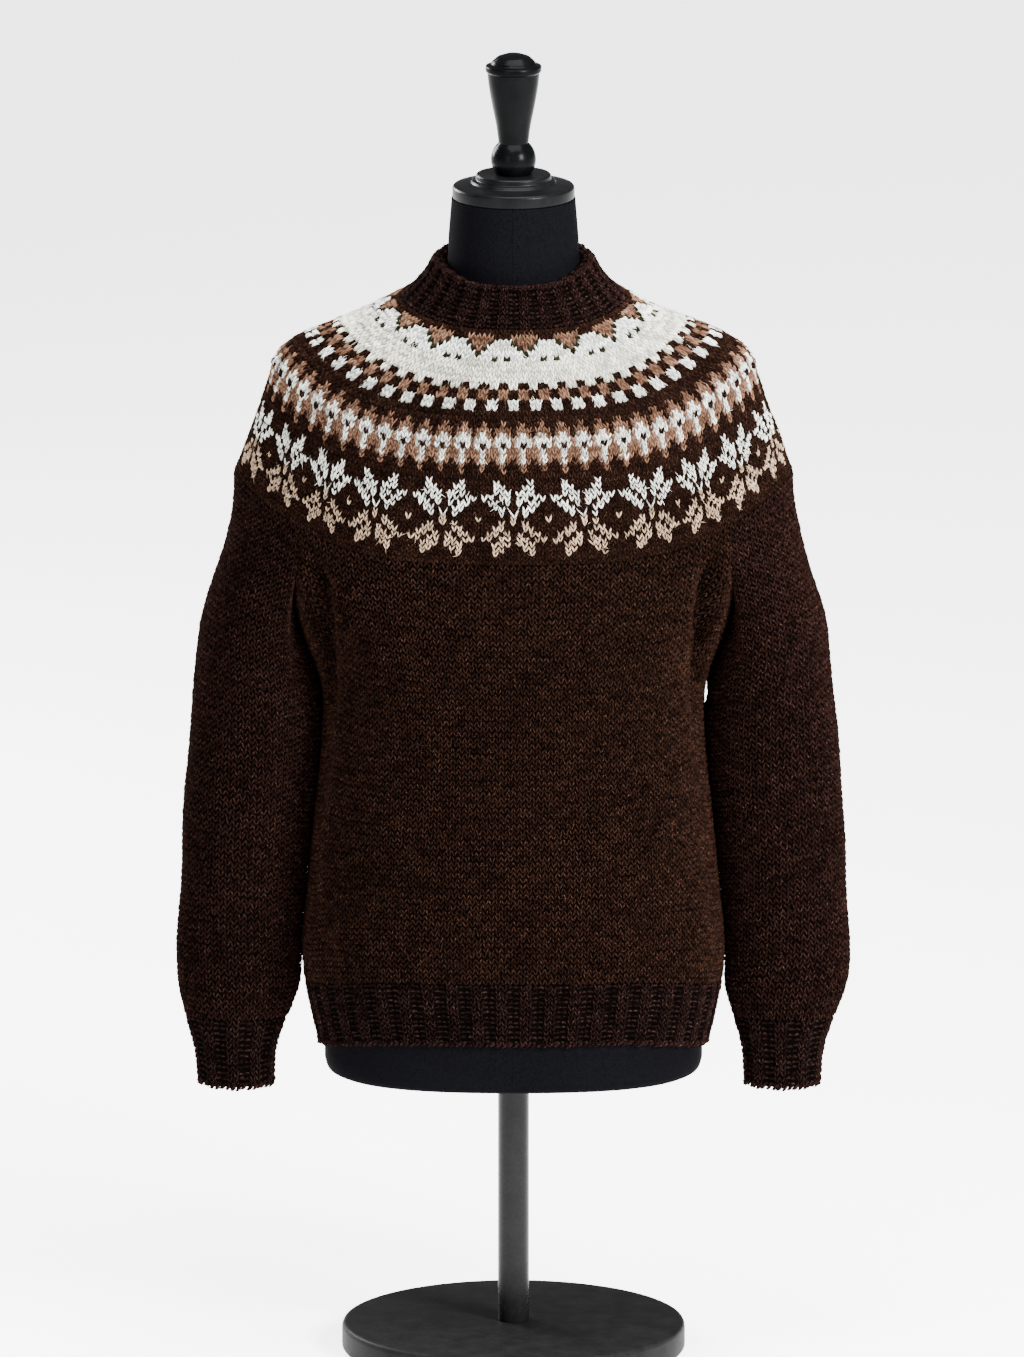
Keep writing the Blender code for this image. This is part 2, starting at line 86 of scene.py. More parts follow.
# One round in each row: knit rows down from the neckband, then its half width and height
# over the arm, its depth and height at the front centre, and the same at the back
YOKE_ROUNDS = (
    # row, side_x, side_z, front_y, front_z, back_y, back_z
    (0.0, 0.1015, 0.9705, 0.088, 0.959, 0.08, 0.985),
    (5.5, 0.128, 0.9595, 0.101, 0.935, 0.0915, 0.964),
    (11.0, 0.162, 0.9465, 0.113, 0.911, 0.102, 0.939),
    (16.5, 0.1955, 0.932, 0.1215, 0.886, 0.11, 0.91),
    (20.0, 0.211, 0.919, 0.125, 0.869, 0.113, 0.89),
    (24.0, 0.2185, 0.899, 0.127, 0.849, 0.115, 0.866),
    (28.5, 0.2255, 0.878, 0.128, 0.829, 0.1155, 0.843),
    (35.0, 0.236, 0.849, 0.1285, 0.796, 0.115, 0.809),
    (42.5, 0.2465, 0.82, 0.1285, 0.76, 0.1145, 0.774),
    (44.5, 0.25, 0.811, 0.1285, 0.752, 0.114, 0.766),
)
SHOULDER_ROW = 20.0  # the form carries the cloth down to this row

# The body tube at a few heights of its side, from the rib to the underarm
BODY_SECTIONS = (
    # height, half_width, front, back, squareness
    (0.348, 0.188, 0.13, 0.121, 2.5),
    (0.375, 0.1895, 0.1325, 0.1235, 2.5),
    (0.43, 0.185, 0.132, 0.1215, 2.5),
    (0.5, 0.1785, 0.1305, 0.1185, 2.5),
    (0.57, 0.172, 0.1295, 0.116, 2.5),
    (0.62, 0.1715, 0.129, 0.115, 2.6),
    (0.66, 0.178, 0.129, 0.1145, 2.8),
    (0.7, 0.189, 0.1288, 0.1142, 3.2),
    (0.733, 0.196, 0.1285, 0.114, 3.6),
)
BODY_ROWS = 11
BODY_BLEND_FROM = 0.66  # share of the height from which it turns into the yoke's round

# The hem rib between its lower edge (0) and the body (1)
HEM_SECTIONS = (
    # share, half_width, front, back, squareness
    (0.0, 0.176, 0.1195, 0.1155, 2.5),
    (0.5, 0.1828, 0.1252, 0.119, 2.5),
    (1.0, 0.1885, 0.1305, 0.1215, 2.5),
)

# The right sleeve at a few heights, from cuff to underarm
SLEEVE_SECTIONS = (
    # height, outer_x, inner_x, half_depth
    (CUFF_TOP, 0.2955, 0.204, 0.0365),
    (0.335, 0.301, 0.1955, 0.041),
    (0.375, 0.3025, 0.1918, 0.043),
    (0.43, 0.2995, 0.1885, 0.0455),
    (0.5, 0.295, 0.181, 0.0505),
    (0.56, 0.2905, 0.175, 0.055),
    (0.62, 0.285, 0.1755, 0.062),
    (0.68, 0.277, 0.1865, 0.069),
    (0.73, 0.269, 0.2, 0.0745),
    (0.78, 0.259, 0.204, 0.0775),
)
SLEEVE_BLEND_FROM = 0.7

CUFF_SECTIONS = (
    # height, outer_x, inner_x, half_depth
    (CUFF_BOTTOM, 0.2845, 0.2155, 0.032),
    (0.28, 0.288, 0.2135, 0.0335),
    (CUFF_TOP - SEAM, 0.2965, 0.203, 0.0375),
)

# The form from its flat underside up to the armholes, where it turns into the shoulders
FORM_SECTIONS = (
    # side_x, side_z, front_y, front_z, back_y, back_z, squareness
    (0.16, 0.26, 0.105, 0.26, 0.101, 0.26, 2.5),
    (0.1675, 0.264, 0.1115, 0.264, 0.1075, 0.264, 2.5),
    (0.1703, 0.272, 0.1138, 0.272, 0.1098, 0.272, 2.5),
    (0.1703, 0.31, 0.1138, 0.31, 0.1098, 0.31, 2.5),
    (0.167, 0.38, 0.112, 0.38, 0.106, 0.38, 2.5),
    (0.156, 0.47, 0.107, 0.47, 0.096, 0.47, 2.4),
    (0.153, 0.56, 0.109, 0.56, 0.093, 0.56, 2.4),
    (0.159, 0.65, 0.118, 0.65, 0.099, 0.65, 2.4),
    (0.166, 0.73, 0.1215, 0.73, 0.105, 0.73, 2.4),
    (0.177, 0.8, 0.1185, 0.79, 0.105, 0.795, 2.2),
    (0.193, 0.87, 0.115, 0.835, 0.103, 0.85, 2.0),
)
# The form's neck above the yoke, and the inside of the neckband that lies on it
NECK_SECTIONS = (
    # side_x, side_z, front_y, front_z, back_y, back_z
    (0.079, 0.9775, 0.073, 0.964, 0.068, 0.99),
    (0.065, 0.9885, 0.064, 0.976, 0.061, 0.999),
    (0.0605, 0.9995, 0.0605, 0.987, 0.0595, 1.007),
)
NECK_TOP_RADIUS = 0.0556
NECK_THROAT_RADIUS, NECK_THROAT_Z = 0.0585, 1.025

# The outside of the doubled neckband over the yoke's first round, up and over its edge
NECKBAND_SECTIONS = (
    # side_x, side_z, front_y, front_z, back_y, back_z
    (0.089, 0.9822, 0.0815, 0.972, 0.0765, 0.995),
    (0.0765, 0.9985, 0.0745, 0.986, 0.0725, 1.007),
    (0.0715, 1.007, 0.0705, 0.994, 0.0695, 1.0135),
    (0.065, 1.0065, 0.065, 0.9935, 0.064, 1.013),
)

# Turned profiles from the bottom up, after each piece's own lower face
CAP_PROFILE = (
    # radius, height
    (0.0541, 1.0618),
    (0.0549, 1.0626),
    (0.0549, 1.0712),
    (0.0538, 1.073),
    (0.0465, 1.0742),
    (0.0385, 1.0752),
    (0.0372, 1.0775),
    (0.0338, 1.0785),
    (0.0338, 1.0824),
    (0.0326, 1.0835),
)
BALL_RADIUS, BALL_Z = 0.0203, 1.0966
FINIAL_BOTTOM = 1.0838
FINIAL_PROFILE = (
    # radius, height, above the ball
    (0.0135, 1.112),
    (0.0152, 1.1255),
    (0.019, 1.145),
    (0.0222, 1.1635),
    (0.0236, 1.176),
    (0.0252, 1.1775),
    (0.0252, 1.1825),
    (0.0205, 1.1838),
    (0.0192, 1.1862),
    (0.0145, 1.1905),
    (0.007, 1.193),
)
BASE_PROFILE = (
    # radius, height
    (BASE_RADIUS - 0.002, 0.0),
    (BASE_RADIUS, 0.0025),
    (BASE_RADIUS, BASE_HEIGHT - 0.0045),
    (BASE_RADIUS - 0.0015, BASE_HEIGHT - 0.001),
    (BASE_RADIUS - 0.005, BASE_HEIGHT),
)


def smoothstep(share):
    share = np.clip(share, 0.0, 1.0)
    return share * share * (3.0 - 2.0 * share)


def hermite(first, last, slope, last_slope, step, t):
    """A smooth curve between two values with these slopes, at the share t of the step."""
    start = first * (1 + 2 * t) * (1 - t) ** 2 + slope * step * t * (1 - t) ** 2
    end = last * t * t * (3 - 2 * t) - last_slope * step * t * t * (1 - t)
    return start + end


def read_table(table, places):
    """The table's later columns as smooth curves of its first one, read at these places."""
    rows = np.array(table, float)
    keys, values = rows[:, 0], rows[:, 1:]
    slopes = np.gradient(values, keys, axis=0)
    places = np.asarray(places, float)
    i = np.clip(np.searchsorted(keys, places, side="right") - 1, 0, len(keys) - 2)
    step = (keys[i + 1] - keys[i])[:, None]
    t = (places - keys[i])[:, None] / step
    return hermite(values[i], values[i + 1], slopes[i], slopes[i + 1], step, t)


def unit(vectors):
    return vectors / np.linalg.norm(vectors, axis=-1, keepdims=True)


def ring_angles(count):
    return np.arange(count) * 360 / count


def bell(value, centre, width):
    return np.exp(-(((value - centre) / width) ** 2))


def edge_fade(v, low, high):
    """0 at both edges of a surface and 1 between, reached over these shares of its height."""
    return smoothstep(v / low) * smoothstep((1 - v) / high)


def signed_power(value, power):
    return np.sign(value) * np.abs(value) ** power


def oval(angles, half_width, front, back, squareness):
    """x and y round a rounded oval. Angle 0 is the front centre, and it runs towards +X."""
    sine, cosine = np.sin(np.radians(angles)), np.cos(np.radians(angles))
    depth = np.where(cosine > 0, front, back)
    x = half_width * signed_power(sine, 2 / squareness)
    return x, -depth * signed_power(cosine, 2 / squareness)


def edge_heights(angles, side_z, front_z, back_z):
    """Heights round an edge that is level near the front and climbs over the arms."""
    cosine = np.cos(np.radians(angles))
    share = smoothstep(np.abs(cosine) ** 1.3)
    return side_z + (np.where(cosine > 0, front_z, back_z) - side_z) * share


def round_points(angles, sizes, squareness=2.0):
    """A round like the yoke's, from side_x, side_z, front_y, front_z, back_y, back_z."""
    side_x, side_z, front_y, front_z, back_y, back_z = sizes
    x, y = oval(angles, side_x, front_y, back_y, squareness)
    return np.stack([x, y, edge_heights(angles, side_z, front_z, back_z)], axis=1)


def outward(rows):
    """Unit normals of a grid of rings, each counter-clockwise from above, bottom ring first."""
    around = np.roll(rows, -1, axis=1) - np.roll(rows, 1, axis=1)
    return unit(np.cross(around, np.gradient(rows, axis=0)))


def yoke_angles():
    """Angles all round the yoke, counter-clockwise from the front centre."""
    arm = np.linspace(FRONT_ANGLES[-1], 90, ARM_STEPS + 1)[1:]
    quarter = np.concatenate([FRONT_ANGLES, arm])
    half = np.concatenate([quarter, 180 - quarter[-2::-1]])
    return np.concatenate([half, 360 - half[-2:0:-1]])


def underarm_curve():
    """Points under the right-hand arm (+X), between the yoke's two ends there, front to back."""
    angle = FRONT_ANGLES[-1]
    ends = round_points(np.array([angle, 180 - angle]), YOKE_ROUNDS[-1][1:])
    share = np.arange(1, UNDERARM_STEPS)[:, None] / UNDERARM_STEPS
    points = ends[0] + (ends[1] - ends[0]) * share
    arch = np.sin(math.pi * share[:, 0])
    points[:, 0] += UNDERARM_BULGE * arch
    points[:, 2] -= UNDERARM_DIP * arch**0.6
    return points


def body_loop(base, under):
    """The body's upper edge: a yoke ring at front and back, and the two underarms."""
    behind = 2 * (FRONT_STEPS + ARM_STEPS)
    back = base[behind - FRONT_STEPS : behind + FRONT_STEPS + 1]
    right = under[::-1] * (-1, 1, 1)
    ring = [base[: FRONT_STEPS + 1], under, back, right, base[-FRONT_STEPS:]]
    return np.concatenate(ring) - (0, 0, SEAM)


def body_angles():
    """The body's own angles for the points of body_loop, which bunch at the folds too."""
    towards = np.array(FRONT_ANGLES) * BODY_CORNER / FRONT_ANGLES[-1]
    under = np.linspace(BODY_CORNER, 180 - BODY_CORNER, UNDERARM_STEPS + 1)[1:]
    half = np.concatenate([towards, under, 180 - towards[-2::-1]])
    return np.concatenate([half, 360 - half[-2:0:-1]])


def fold_share(angles):
    """How much of the underarm fold's groove falls on each of the body's columns."""
    from_front = np.abs((angles + 90) % 180 - 90) * (FRONT_ANGLES[-1] / BODY_CORNER)
    return bell(from_front, FOLD_ANGLE, FOLD_WIDTH)


def body_rows():
    """The body tube's outside from the rib up, at many heights."""
    angles = body_angles()
    top = body_loop(yoke_edge(), underarm_curve())
    low_z = edge_heights(angles, HEM_SIDE_Z, HEM_FRONT_Z, HEM_BACK_Z) + RIB_HEIGHT
    first, last = BODY_SECTIONS[0][0], BODY_SECTIONS[-1][0]
    fold_middle = (FOLD_LOW + FOLD_HIGH) / 2
    rows = []
    for share in np.linspace(0, 1, DENSE_ROWS):
        section = read_table(BODY_SECTIONS, [first + (last - first) * share])[0]
        x, y = oval(angles, *section)
        z = low_z + (top[:, 2] - low_z) * share
        blend = smoothstep((share - BODY_BLEND_FROM) / (1 - BODY_BLEND_FROM))
        x = x + (top[:, 0] - x) * blend
        y = y + (top[:, 1] - y) * blend
        reach = np.clip(1 - ((z - fold_middle) / (FOLD_HIGH - fold_middle)) ** 2, 0, 1)
        reach = reach * min(1.0, (1 - share) * BODY_ROWS)
        y = y - np.sign(y) * FOLD_DEPTH * fold_share(angles) * np.sqrt(reach)
        rows.append(np.stack([x, y, z], axis=1))
    return np.array(rows)


def sleeve_ring(angles, outer_x, inner_x, half_depth, height):
    centre, half = (outer_x + inner_x) / 2, (outer_x - inner_x) / 2
    x = centre + half * np.cos(np.radians(angles))
    y = half_depth * np.sin(np.radians(angles))
    return np.stack([x, y, np.full(len(angles), height)], axis=1)


def sleeve_loop(base, under):
    """The sleeve's upper edge on the +X side, counter-clockwise from the outermost point."""
    outer = FRONT_STEPS + ARM_STEPS
    ring = [base[outer : outer + ARM_STEPS + 1], under[::-1], base[outer - ARM_STEPS : outer]]
    return np.concatenate(ring) + (SEAM, 0, -SEAM)


def sleeve_rows():
    """The left sleeve's outside from cuff to yoke, at many heights."""
    top = sleeve_loop(yoke_edge(), underarm_curve() + (2 * SEAM, 0, 0))
    angles = ring_angles(len(top))
    low, high = SLEEVE_SECTIONS[0][0], SLEEVE_SECTIONS[-1][0]
    rows = []
    for share in np.linspace(0, 1, DENSE_ROWS):
        section = read_table(SLEEVE_SECTIONS, [low + (high - low) * share])[0]
        ring = sleeve_ring(angles, *section, low)
        ring[:, 2] = low + (top[:, 2] - low) * share
        blend = smoothstep((share - SLEEVE_BLEND_FROM) / (1 - SLEEVE_BLEND_FROM))
        ring[:, :2] += (top[:, :2] - ring[:, :2]) * blend
        rows.append(ring)
    return np.array(rows)


def hang(rings, side):
    """A sleeve's or cuff's rings on one side: right (-X) is mirrored, left hangs inward."""
    moved = []
    for ring in rings:
        ring = ring.copy()
        if side == "left":
            drop = smoothstep((LEAN_HIGH - ring[:, 2]) / (LEAN_HIGH - LEAN_LOW))
            ring[:, 0] -= LEFT_CUFF_INWARD * drop
        else:
            ring = np.concatenate([ring[:1], ring[:0:-1]]) * (-1, 1, 1)
        moved.append(ring)
    return moved


# Yarns: the dark and light ends of the colour, the fleck in it, and how much fleck there is
YARNS = {
    "wool_brown": ((0.005, 0.0017, 0.0011), (0.0126, 0.005, 0.003), (0.092, 0.05, 0.033), 0.55),
    "wool_sleeve": ((0.0042, 0.0014, 0.0011), (0.0108, 0.004, 0.003), (0.086, 0.045, 0.034), 0.55),
    "wool_rib": ((0.004, 0.0015, 0.0013), (0.0102, 0.0042, 0.0034), (0.092, 0.052, 0.043), 0.52),
    "wool_white": ((0.5, 0.51, 0.46), (0.74, 0.75, 0.69), (0.82, 0.83, 0.78), 0.2),
    "wool_cream": ((0.5, 0.49, 0.4), (0.74, 0.725, 0.62), (0.82, 0.8, 0.71), 0.2),
    "wool_beige": ((0.24, 0.16, 0.105), (0.44, 0.32, 0.225), (0.54, 0.42, 0.32), 0.25),
    "wool_rose": ((0.08, 0.038, 0.022), (0.172, 0.094, 0.06), (0.29, 0.175, 0.12), 0.3),
    "wool_olive": ((0.008, 0.007, 0.003), (0.024, 0.02, 0.011), (0.05, 0.044, 0.026), 0.25),
}
FORM_COVER = ((0.0007, 0.0007, 0.001), (0.0022, 0.0022, 0.0029))  # dark, light
PAINTED = {
    # dark, light, roughness, metallic, shine, bump
    "satin_paint": ((0.0008, 0.0009, 0.001), (0.0018, 0.0019, 0.0021), 0.24, 0.0, 0.022, 0.02),
    "cap_paint": ((0.0014, 0.0015, 0.0017), (0.003, 0.0031, 0.0034), 0.32, 0.0, 0.045, 0.02),
    "pole_paint": ((0.0032, 0.0032, 0.0034), (0.0054, 0.0054, 0.0056), 0.26, 0.0, 0.07, 0.03),
    "base_paint": ((0.004, 0.004, 0.0041), (0.007, 0.007, 0.0072), 0.5, 0.0, 0.025, 0.1),
}
STRAND_SCALE = (55.0, 55.0, 190.0)  # changes of tone in a metre of x, y and z
PATCH_TONES = (0.88, 1.1)  # over whole patches of the cloth
FLECK_SCALE = 620.0
FLECK_RANGE = (0.54, 0.74)  # of the noise that the flecks show in
CLOTH_SHINE = 0.01
MADE = {}


def set_inputs(tree, node, **inputs):
    """Sets a node's inputs, each to a link, a number, a vector or a colour of three numbers."""
    for name, value in inputs.items():
        plug(tree, node.inputs[name.replace("_", " ")], value)


def plug(tree, socket, value):
    if isinstance(value, bpy.types.NodeSocket):
        tree.links.new(value, socket)
    else:
        socket.default_value = (*value, 1.0) if socket.type == "RGBA" else value


def add_node(tree, kind, settings=(), **inputs):
    """A shader node with its settings and its inputs."""
    made = tree.nodes.new(kind)
    for name, value in dict(settings).items():
        setattr(made, name, value)
    set_inputs(tree, made, **inputs)
    return made


def noise(tree, place, scale, detail, roughness):
    sizes = {"Scale": scale, "Detail": detail, "Roughness": roughness}
    return add_node(tree, "ShaderNodeTexNoise", Vector=place, **sizes).outputs["Fac"]


def ranged(tree, value, low, high, to_low=0.0, to_high=1.0):
    """The value moved from the range low to high onto another one."""
    ends = {"From Min": low, "From Max": high, "To Min": to_low, "To Max": to_high}
    return add_node(tree, "ShaderNodeMapRange", Value=value, **ends).outputs["Result"]


def mixed(tree, share, first, second, blend_type="MIX"):
    """A colour between two, each a link or three numbers."""
    made = add_node(tree, "ShaderNodeMix", {"data_type": "RGBA", "blend_type": blend_type})
    for place, value in ((0, share), (6, first), (7, second)):
        plug(tree, made.inputs[place], value)
    return made.outputs[2]


def darkened(tree, tone, factor):
    """The colour times a factor, both links."""
    grey = add_node(tree, "ShaderNodeCombineColor", Red=factor, Green=factor, Blue=factor)
    return mixed(tree, 1.0, tone, grey.outputs["Color"], "MULTIPLY")


def new_material(name):
    made = bpy.data.materials.new(name)
    made.use_nodes = True
    MADE[name] = made
    return made.node_tree, made.node_tree.nodes["Principled BSDF"]


def placed_material(name):
    """A new material, and the place on the object that its patterns follow."""
    tree, shader = new_material(name)
    return tree, shader, tree.nodes.new("ShaderNodeTexCoord").outputs["Object"]


def bumped(tree, shader, height, strength, distance):
    bump = add_node(tree, "ShaderNodeBump", Height=height, Strength=strength, Distance=distance)
    set_inputs(tree, shader, Normal=bump.outputs["Normal"])


def wool(name, dark, light, fleck, fleck_share):
    """Loosely spun wool: the tone changes from stitch to stitch and over the cloth, with
    lighter hairs and a hairy surface. Its colour is multiplied by each mesh's painted shade,
    which darkens the recesses between the stitches and the yarn's edges and ends."""
    tree, shader, place = placed_material(name)
    strand = add_node(tree, "ShaderNodeMapping", Vector=place, Scale=STRAND_SCALE)
    run = ranged(tree, noise(tree, strand.outputs["Vector"], 1.0, 2.0, 0.6), 0.32, 0.68)
    patch = ranged(tree, noise(tree, place, 14.0, 3.0, 0.6), 0.3, 0.7, *PATCH_TONES)
    flecks = noise(tree, place, FLECK_SCALE, 2.0, 0.7)
    tone = mixed(tree, run, dark, light)
    tone = mixed(tree, ranged(tree, flecks, *FLECK_RANGE, 0.0, fleck_share), tone, fleck)
    # the mesh's painted shade and random tone, multiplied into the colour with the patches
    shown = add_node(tree, "ShaderNodeAttribute", {"attribute_name": "yarn_tone_and_painted_shade"})
    product = add_node(tree, "ShaderNodeMath", {"operation": "MULTIPLY"})
    tree.links.new(patch, product.inputs[0])
    tree.links.new(shown.outputs["Fac"], product.inputs[1])
    tone = darkened(tree, tone, product.outputs["Value"])
    set_inputs(tree, shader, Base_Color=tone, Roughness=0.92, Specular_IOR_Level=CLOTH_SHINE)
    bumped(tree, shader, noise(tree, place, 1500.0, 2.0, 0.6), 0.55, 0.0007)


def jersey(name, dark, light):
    """The form's cover: fine knitted cotton with a soft nap."""
    tree, shader, place = placed_material(name)
    nap = ranged(tree, noise(tree, place, 700.0, 3.0, 0.6), 0.3, 0.7)
    broad = ranged(tree, noise(tree, place, 9.0, 2.0, 0.5), 0.3, 0.7, 0.9, 1.08)
    tone = darkened(tree, mixed(tree, nap, dark, light), broad)
    set_inputs(tree, shader, Base_Color=tone, Roughness=0.88, Specular_IOR_Level=CLOTH_SHINE)
    bumped(tree, shader, noise(tree, place, 1300.0, 2.0, 0.5), 0.35, 0.0004)


def painted(name, dark, light, roughness, metallic, shine, bump):
    tree, shader, place = placed_material(name)
    broad = ranged(tree, noise(tree, place, 60.0, 3.0, 0.6), 0.3, 0.7)
    tone = mixed(tree, broad, dark, light)
    worn = noise(tree, place, 240.0, 2.0, 0.6)
    rough = ranged(tree, worn, 0.2, 0.8, roughness - 0.04, roughness + 0.05)
    set_inputs(tree, shader, Base_Color=tone, Roughness=rough)
    set_inputs(tree, shader, Metallic=metallic, Specular_IOR_Level=shine)
    bumped(tree, shader, noise(tree, place, 900.0, 2.0, 0.5), bump, 0.0003)


def make_materials():
    for name, values in YARNS.items():
        wool(name, *values)
    jersey("form_cover", *FORM_COVER)
    for name, values in PAINTED.items():
        painted(name, *values)


# How finely the surfaces are worked out before the stitches are set on them
DENSE_ROWS, DENSE_AROUND = 161, 720
SMOOTH_STEPS = 10  # new points for each one of a ring
# Painted shade between the stitches: how much of its colour the wool shows there, and in the yoke;
# and how much it shows on the inside
CLOTH_PAINTED_SHADE, YOKE_PAINTED_SHADE, LINING_SHADE = 0.05, 0.3, 0.8
CLOTH_SINK = 0.0006  # the wall behind the stitches lies this far under the solid's outside
CLOTH_EDGE = 0.0002  # how far its rounded edges stand out

rng = np.random.default_rng(11)


def yoke_edge():
    """The yoke's lowest round, which body and sleeves hang from."""
    return round_points(yoke_angles(), YOKE_ROUNDS[-1][1:])


def smooth_ring(ring):
    """A closed ring with more points, on a smooth curve through its own."""
    after, before = np.roll(ring, -1, axis=0), np.roll(ring, 1, axis=0)
    ahead = np.linalg.norm(after - ring, axis=1)[:, None]
    behind = np.linalg.norm(ring - before, axis=1)[:, None]
    slope = (after - ring) / ahead * behind + (ring - before) / behind * ahead
    slope /= ahead + behind
    t = (np.arange(SMOOTH_STEPS) / SMOOTH_STEPS)[None, :, None]
    ends = (ring, after, slope, np.roll(slope, -1, axis=0), ahead)
    return hermite(*(each[:, None] for each in ends), t).reshape(-1, ring.shape[1])


def spaced(ring, count, density=None):
    """Points at even steps round a closed ring from its first one, closer where it is denser."""
    closed = np.concatenate([ring, ring[:1]])
    steps = np.linalg.norm(np.diff(closed, axis=0), axis=1)
    if density is not None:
        middle = (closed[:-1] + closed[1:]) / 2
        steps = steps * density(middle)
    length = np.concatenate([[0], np.cumsum(steps)])
    places = np.arange(count) / count * length[-1]
    return np.stack([np.interp(places, length, closed[:, axis]) for axis in range(3)], axis=1)


def along(rings, count):
    """More rings on smooth curves through these ones, evenly spaced along them."""
    rings = np.array(rings, float)
    steps = np.linalg.norm(np.diff(rings, axis=0), axis=2).mean(axis=1)
    keys = np.concatenate([[0], np.cumsum(steps)])
    flat = np.column_stack([keys, rings.reshape(len(rings), -1)])
    return read_table(flat, np.linspace(0, keys[-1], count)).reshape(count, -1, 3)


def grid_places(rows, around):
    """v and u of each point of a grid over a surface."""
    return np.meshgrid(np.linspace(0, 1, rows), np.arange(around) / around, indexing="ij")


class Surface:
    """The outside of a tube: its rings moved out by a relief. u runs once round it, and v
    from its lower edge, 0, to its upper edge, 1."""

    def __init__(self, rows, relief):
        rows = np.array(rows, float)
        v, u = grid_places(*rows.shape[:2])
        self.points = rows + outward(rows) * relief(rows, u, v)[:, :, None]
        self.normals = outward(self.points)

    def read(self, u, v):
        """The points and the unit normals at these places."""
        rows, around = self.points.shape[:2]
        x, y = (u % 1.0) * around, v * (rows - 1)
        j = np.minimum(x.astype(int), around - 1)
        i = np.clip(np.floor(y).astype(int), 0, rows - 2)
        k = (j + 1) % around
        s, t = (x - j)[..., None], (y - i)[..., None]
        found = []
        for grid in (self.points, self.normals):
            low = grid[i, j] * (1 - s) + grid[i, k] * s
            high = grid[i + 1, j] * (1 - s) + grid[i + 1, k] * s
            found.append(low * (1 - t) + high * t)
        return found[0], unit(found[1])

    def lengths(self):
        """Its size round the lower edge, round the upper edge, and up its middle, in metres."""
        rounds = np.linalg.norm(self.points - np.roll(self.points, 1, axis=1), axis=2).sum(1)
        rise = np.linalg.norm(np.diff(self.points, axis=0), axis=2).sum(0).mean()
        return rounds[0], rounds[-1], rise


def waves(points, *rows):
    """Soft waves over a surface, each from its height, its waves per metre along x, y and z,
    and its phase."""
    height = np.zeros(points.shape[:-1])
    for size, x, y, z, phase in rows:
        turn = points[..., 0] * x + points[..., 1] * y + points[..., 2] * z
        height += size * np.sin(2 * math.pi * turn + phase)
    return height


def mesh_object(name, points, triangles, materials, indices=None, shades=None):
    """A smooth mesh that rides the body. shades is how much of its colour the yarn shows at
    each point, for its material: a random tone and, on the stitches and the cloth, painted
    shade in the recesses between the stitches and at the yarn's edges and ends."""
    points = np.asarray(points, np.float32).reshape(-1, 3)
    triangles = np.asarray(triangles, np.int32).reshape(-1, 3)
    mesh = bpy.data.meshes.new(name)
    mesh.vertices.add(len(points))
    mesh.vertices.foreach_set("co", points.reshape(-1))
    mesh.loops.add(triangles.size)
    mesh.loops.foreach_set("vertex_index", triangles.reshape(-1))
    mesh.polygons.add(len(triangles))
    mesh.polygons.foreach_set("loop_start", np.arange(len(triangles), dtype=np.int32) * 3)
    mesh.polygons.foreach_set("use_smooth", np.ones(len(triangles), bool))
    for each in materials:
        mesh.materials.append(MADE[each])
    if indices is not None:
        mesh.polygons.foreach_set("material_index", np.asarray(indices, np.int32))
    mesh.update(calc_edges=True)
    if shades is not None:
        # painted shade in the recesses and at the yarn's edges and ends, times a random tone
        attribute = mesh.attributes.new("yarn_tone_and_painted_shade", "FLOAT", "POINT")
        attribute.data.foreach_set("value", np.asarray(shades, np.float32).reshape(-1))
    made = add_object(name, mesh)
    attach(made, "root")
    return made


def grid_triangles(rings, around, closed):
    """Triangles between each two rings of a grid, and from the last to the first if closed."""
    low = np.arange(rings if closed else rings - 1)[:, None] * around
    high = (low + around) % (rings * around)
    i = np.arange(around)[None, :]
    j = (i + 1) % around
    first = np.stack([low + i, low + j, high + j], axis=-1)
    second = np.stack([low + i, high + j, high + i], axis=-1)
    return np.stack([first, second], axis=2).reshape(-1, 3)


def wall(name, surface, rows, around, thickness, yarns, rise=0.0, yarn_at=None, shade=CLOTH_PAINTED_SHADE):
    """The cloth as a closed wall behind its stitches, rounded at both edges. yarn_at gives
    the place in yarns for each cell of its outside. shade is the painted shade of its outside,
    which shows between the stitches."""
    v, u = grid_places(rows, around)
    points, normals = surface.read(u, v)
    outside = points - normals * CLOTH_SINK
    inside = points - normals * (thickness + rise)
    middle = points - normals * (thickness + CLOTH_SINK) / 2
    top = middle[-1] + unit(points[-1] - points[-2]) * CLOTH_EDGE
    foot = middle[0] + unit(points[0] - points[1]) * CLOTH_EDGE
    rings = np.concatenate([outside, top[None], inside[::-1], foot[None]])
    triangles = grid_triangles(len(rings), around, True)
    indices = np.zeros(len(triangles), np.int32)
    if yarn_at is not None:
        found = yarn_at(u[:-1] + 0.5 / around, (v[:-1] + v[1:]) / 2).reshape(-1)
        indices[: 2 * len(found)] = np.repeat(found, 2)
    # painted shade: the outside is darkened to shade where it shows between the stitches, and the
    # inside to LINING_SHADE
    shades = np.full((len(rings), around), shade)
    shades[rows + 1 :] = LINING_SHADE
    return mesh_object(name, rings, triangles, yarns, indices, shades)


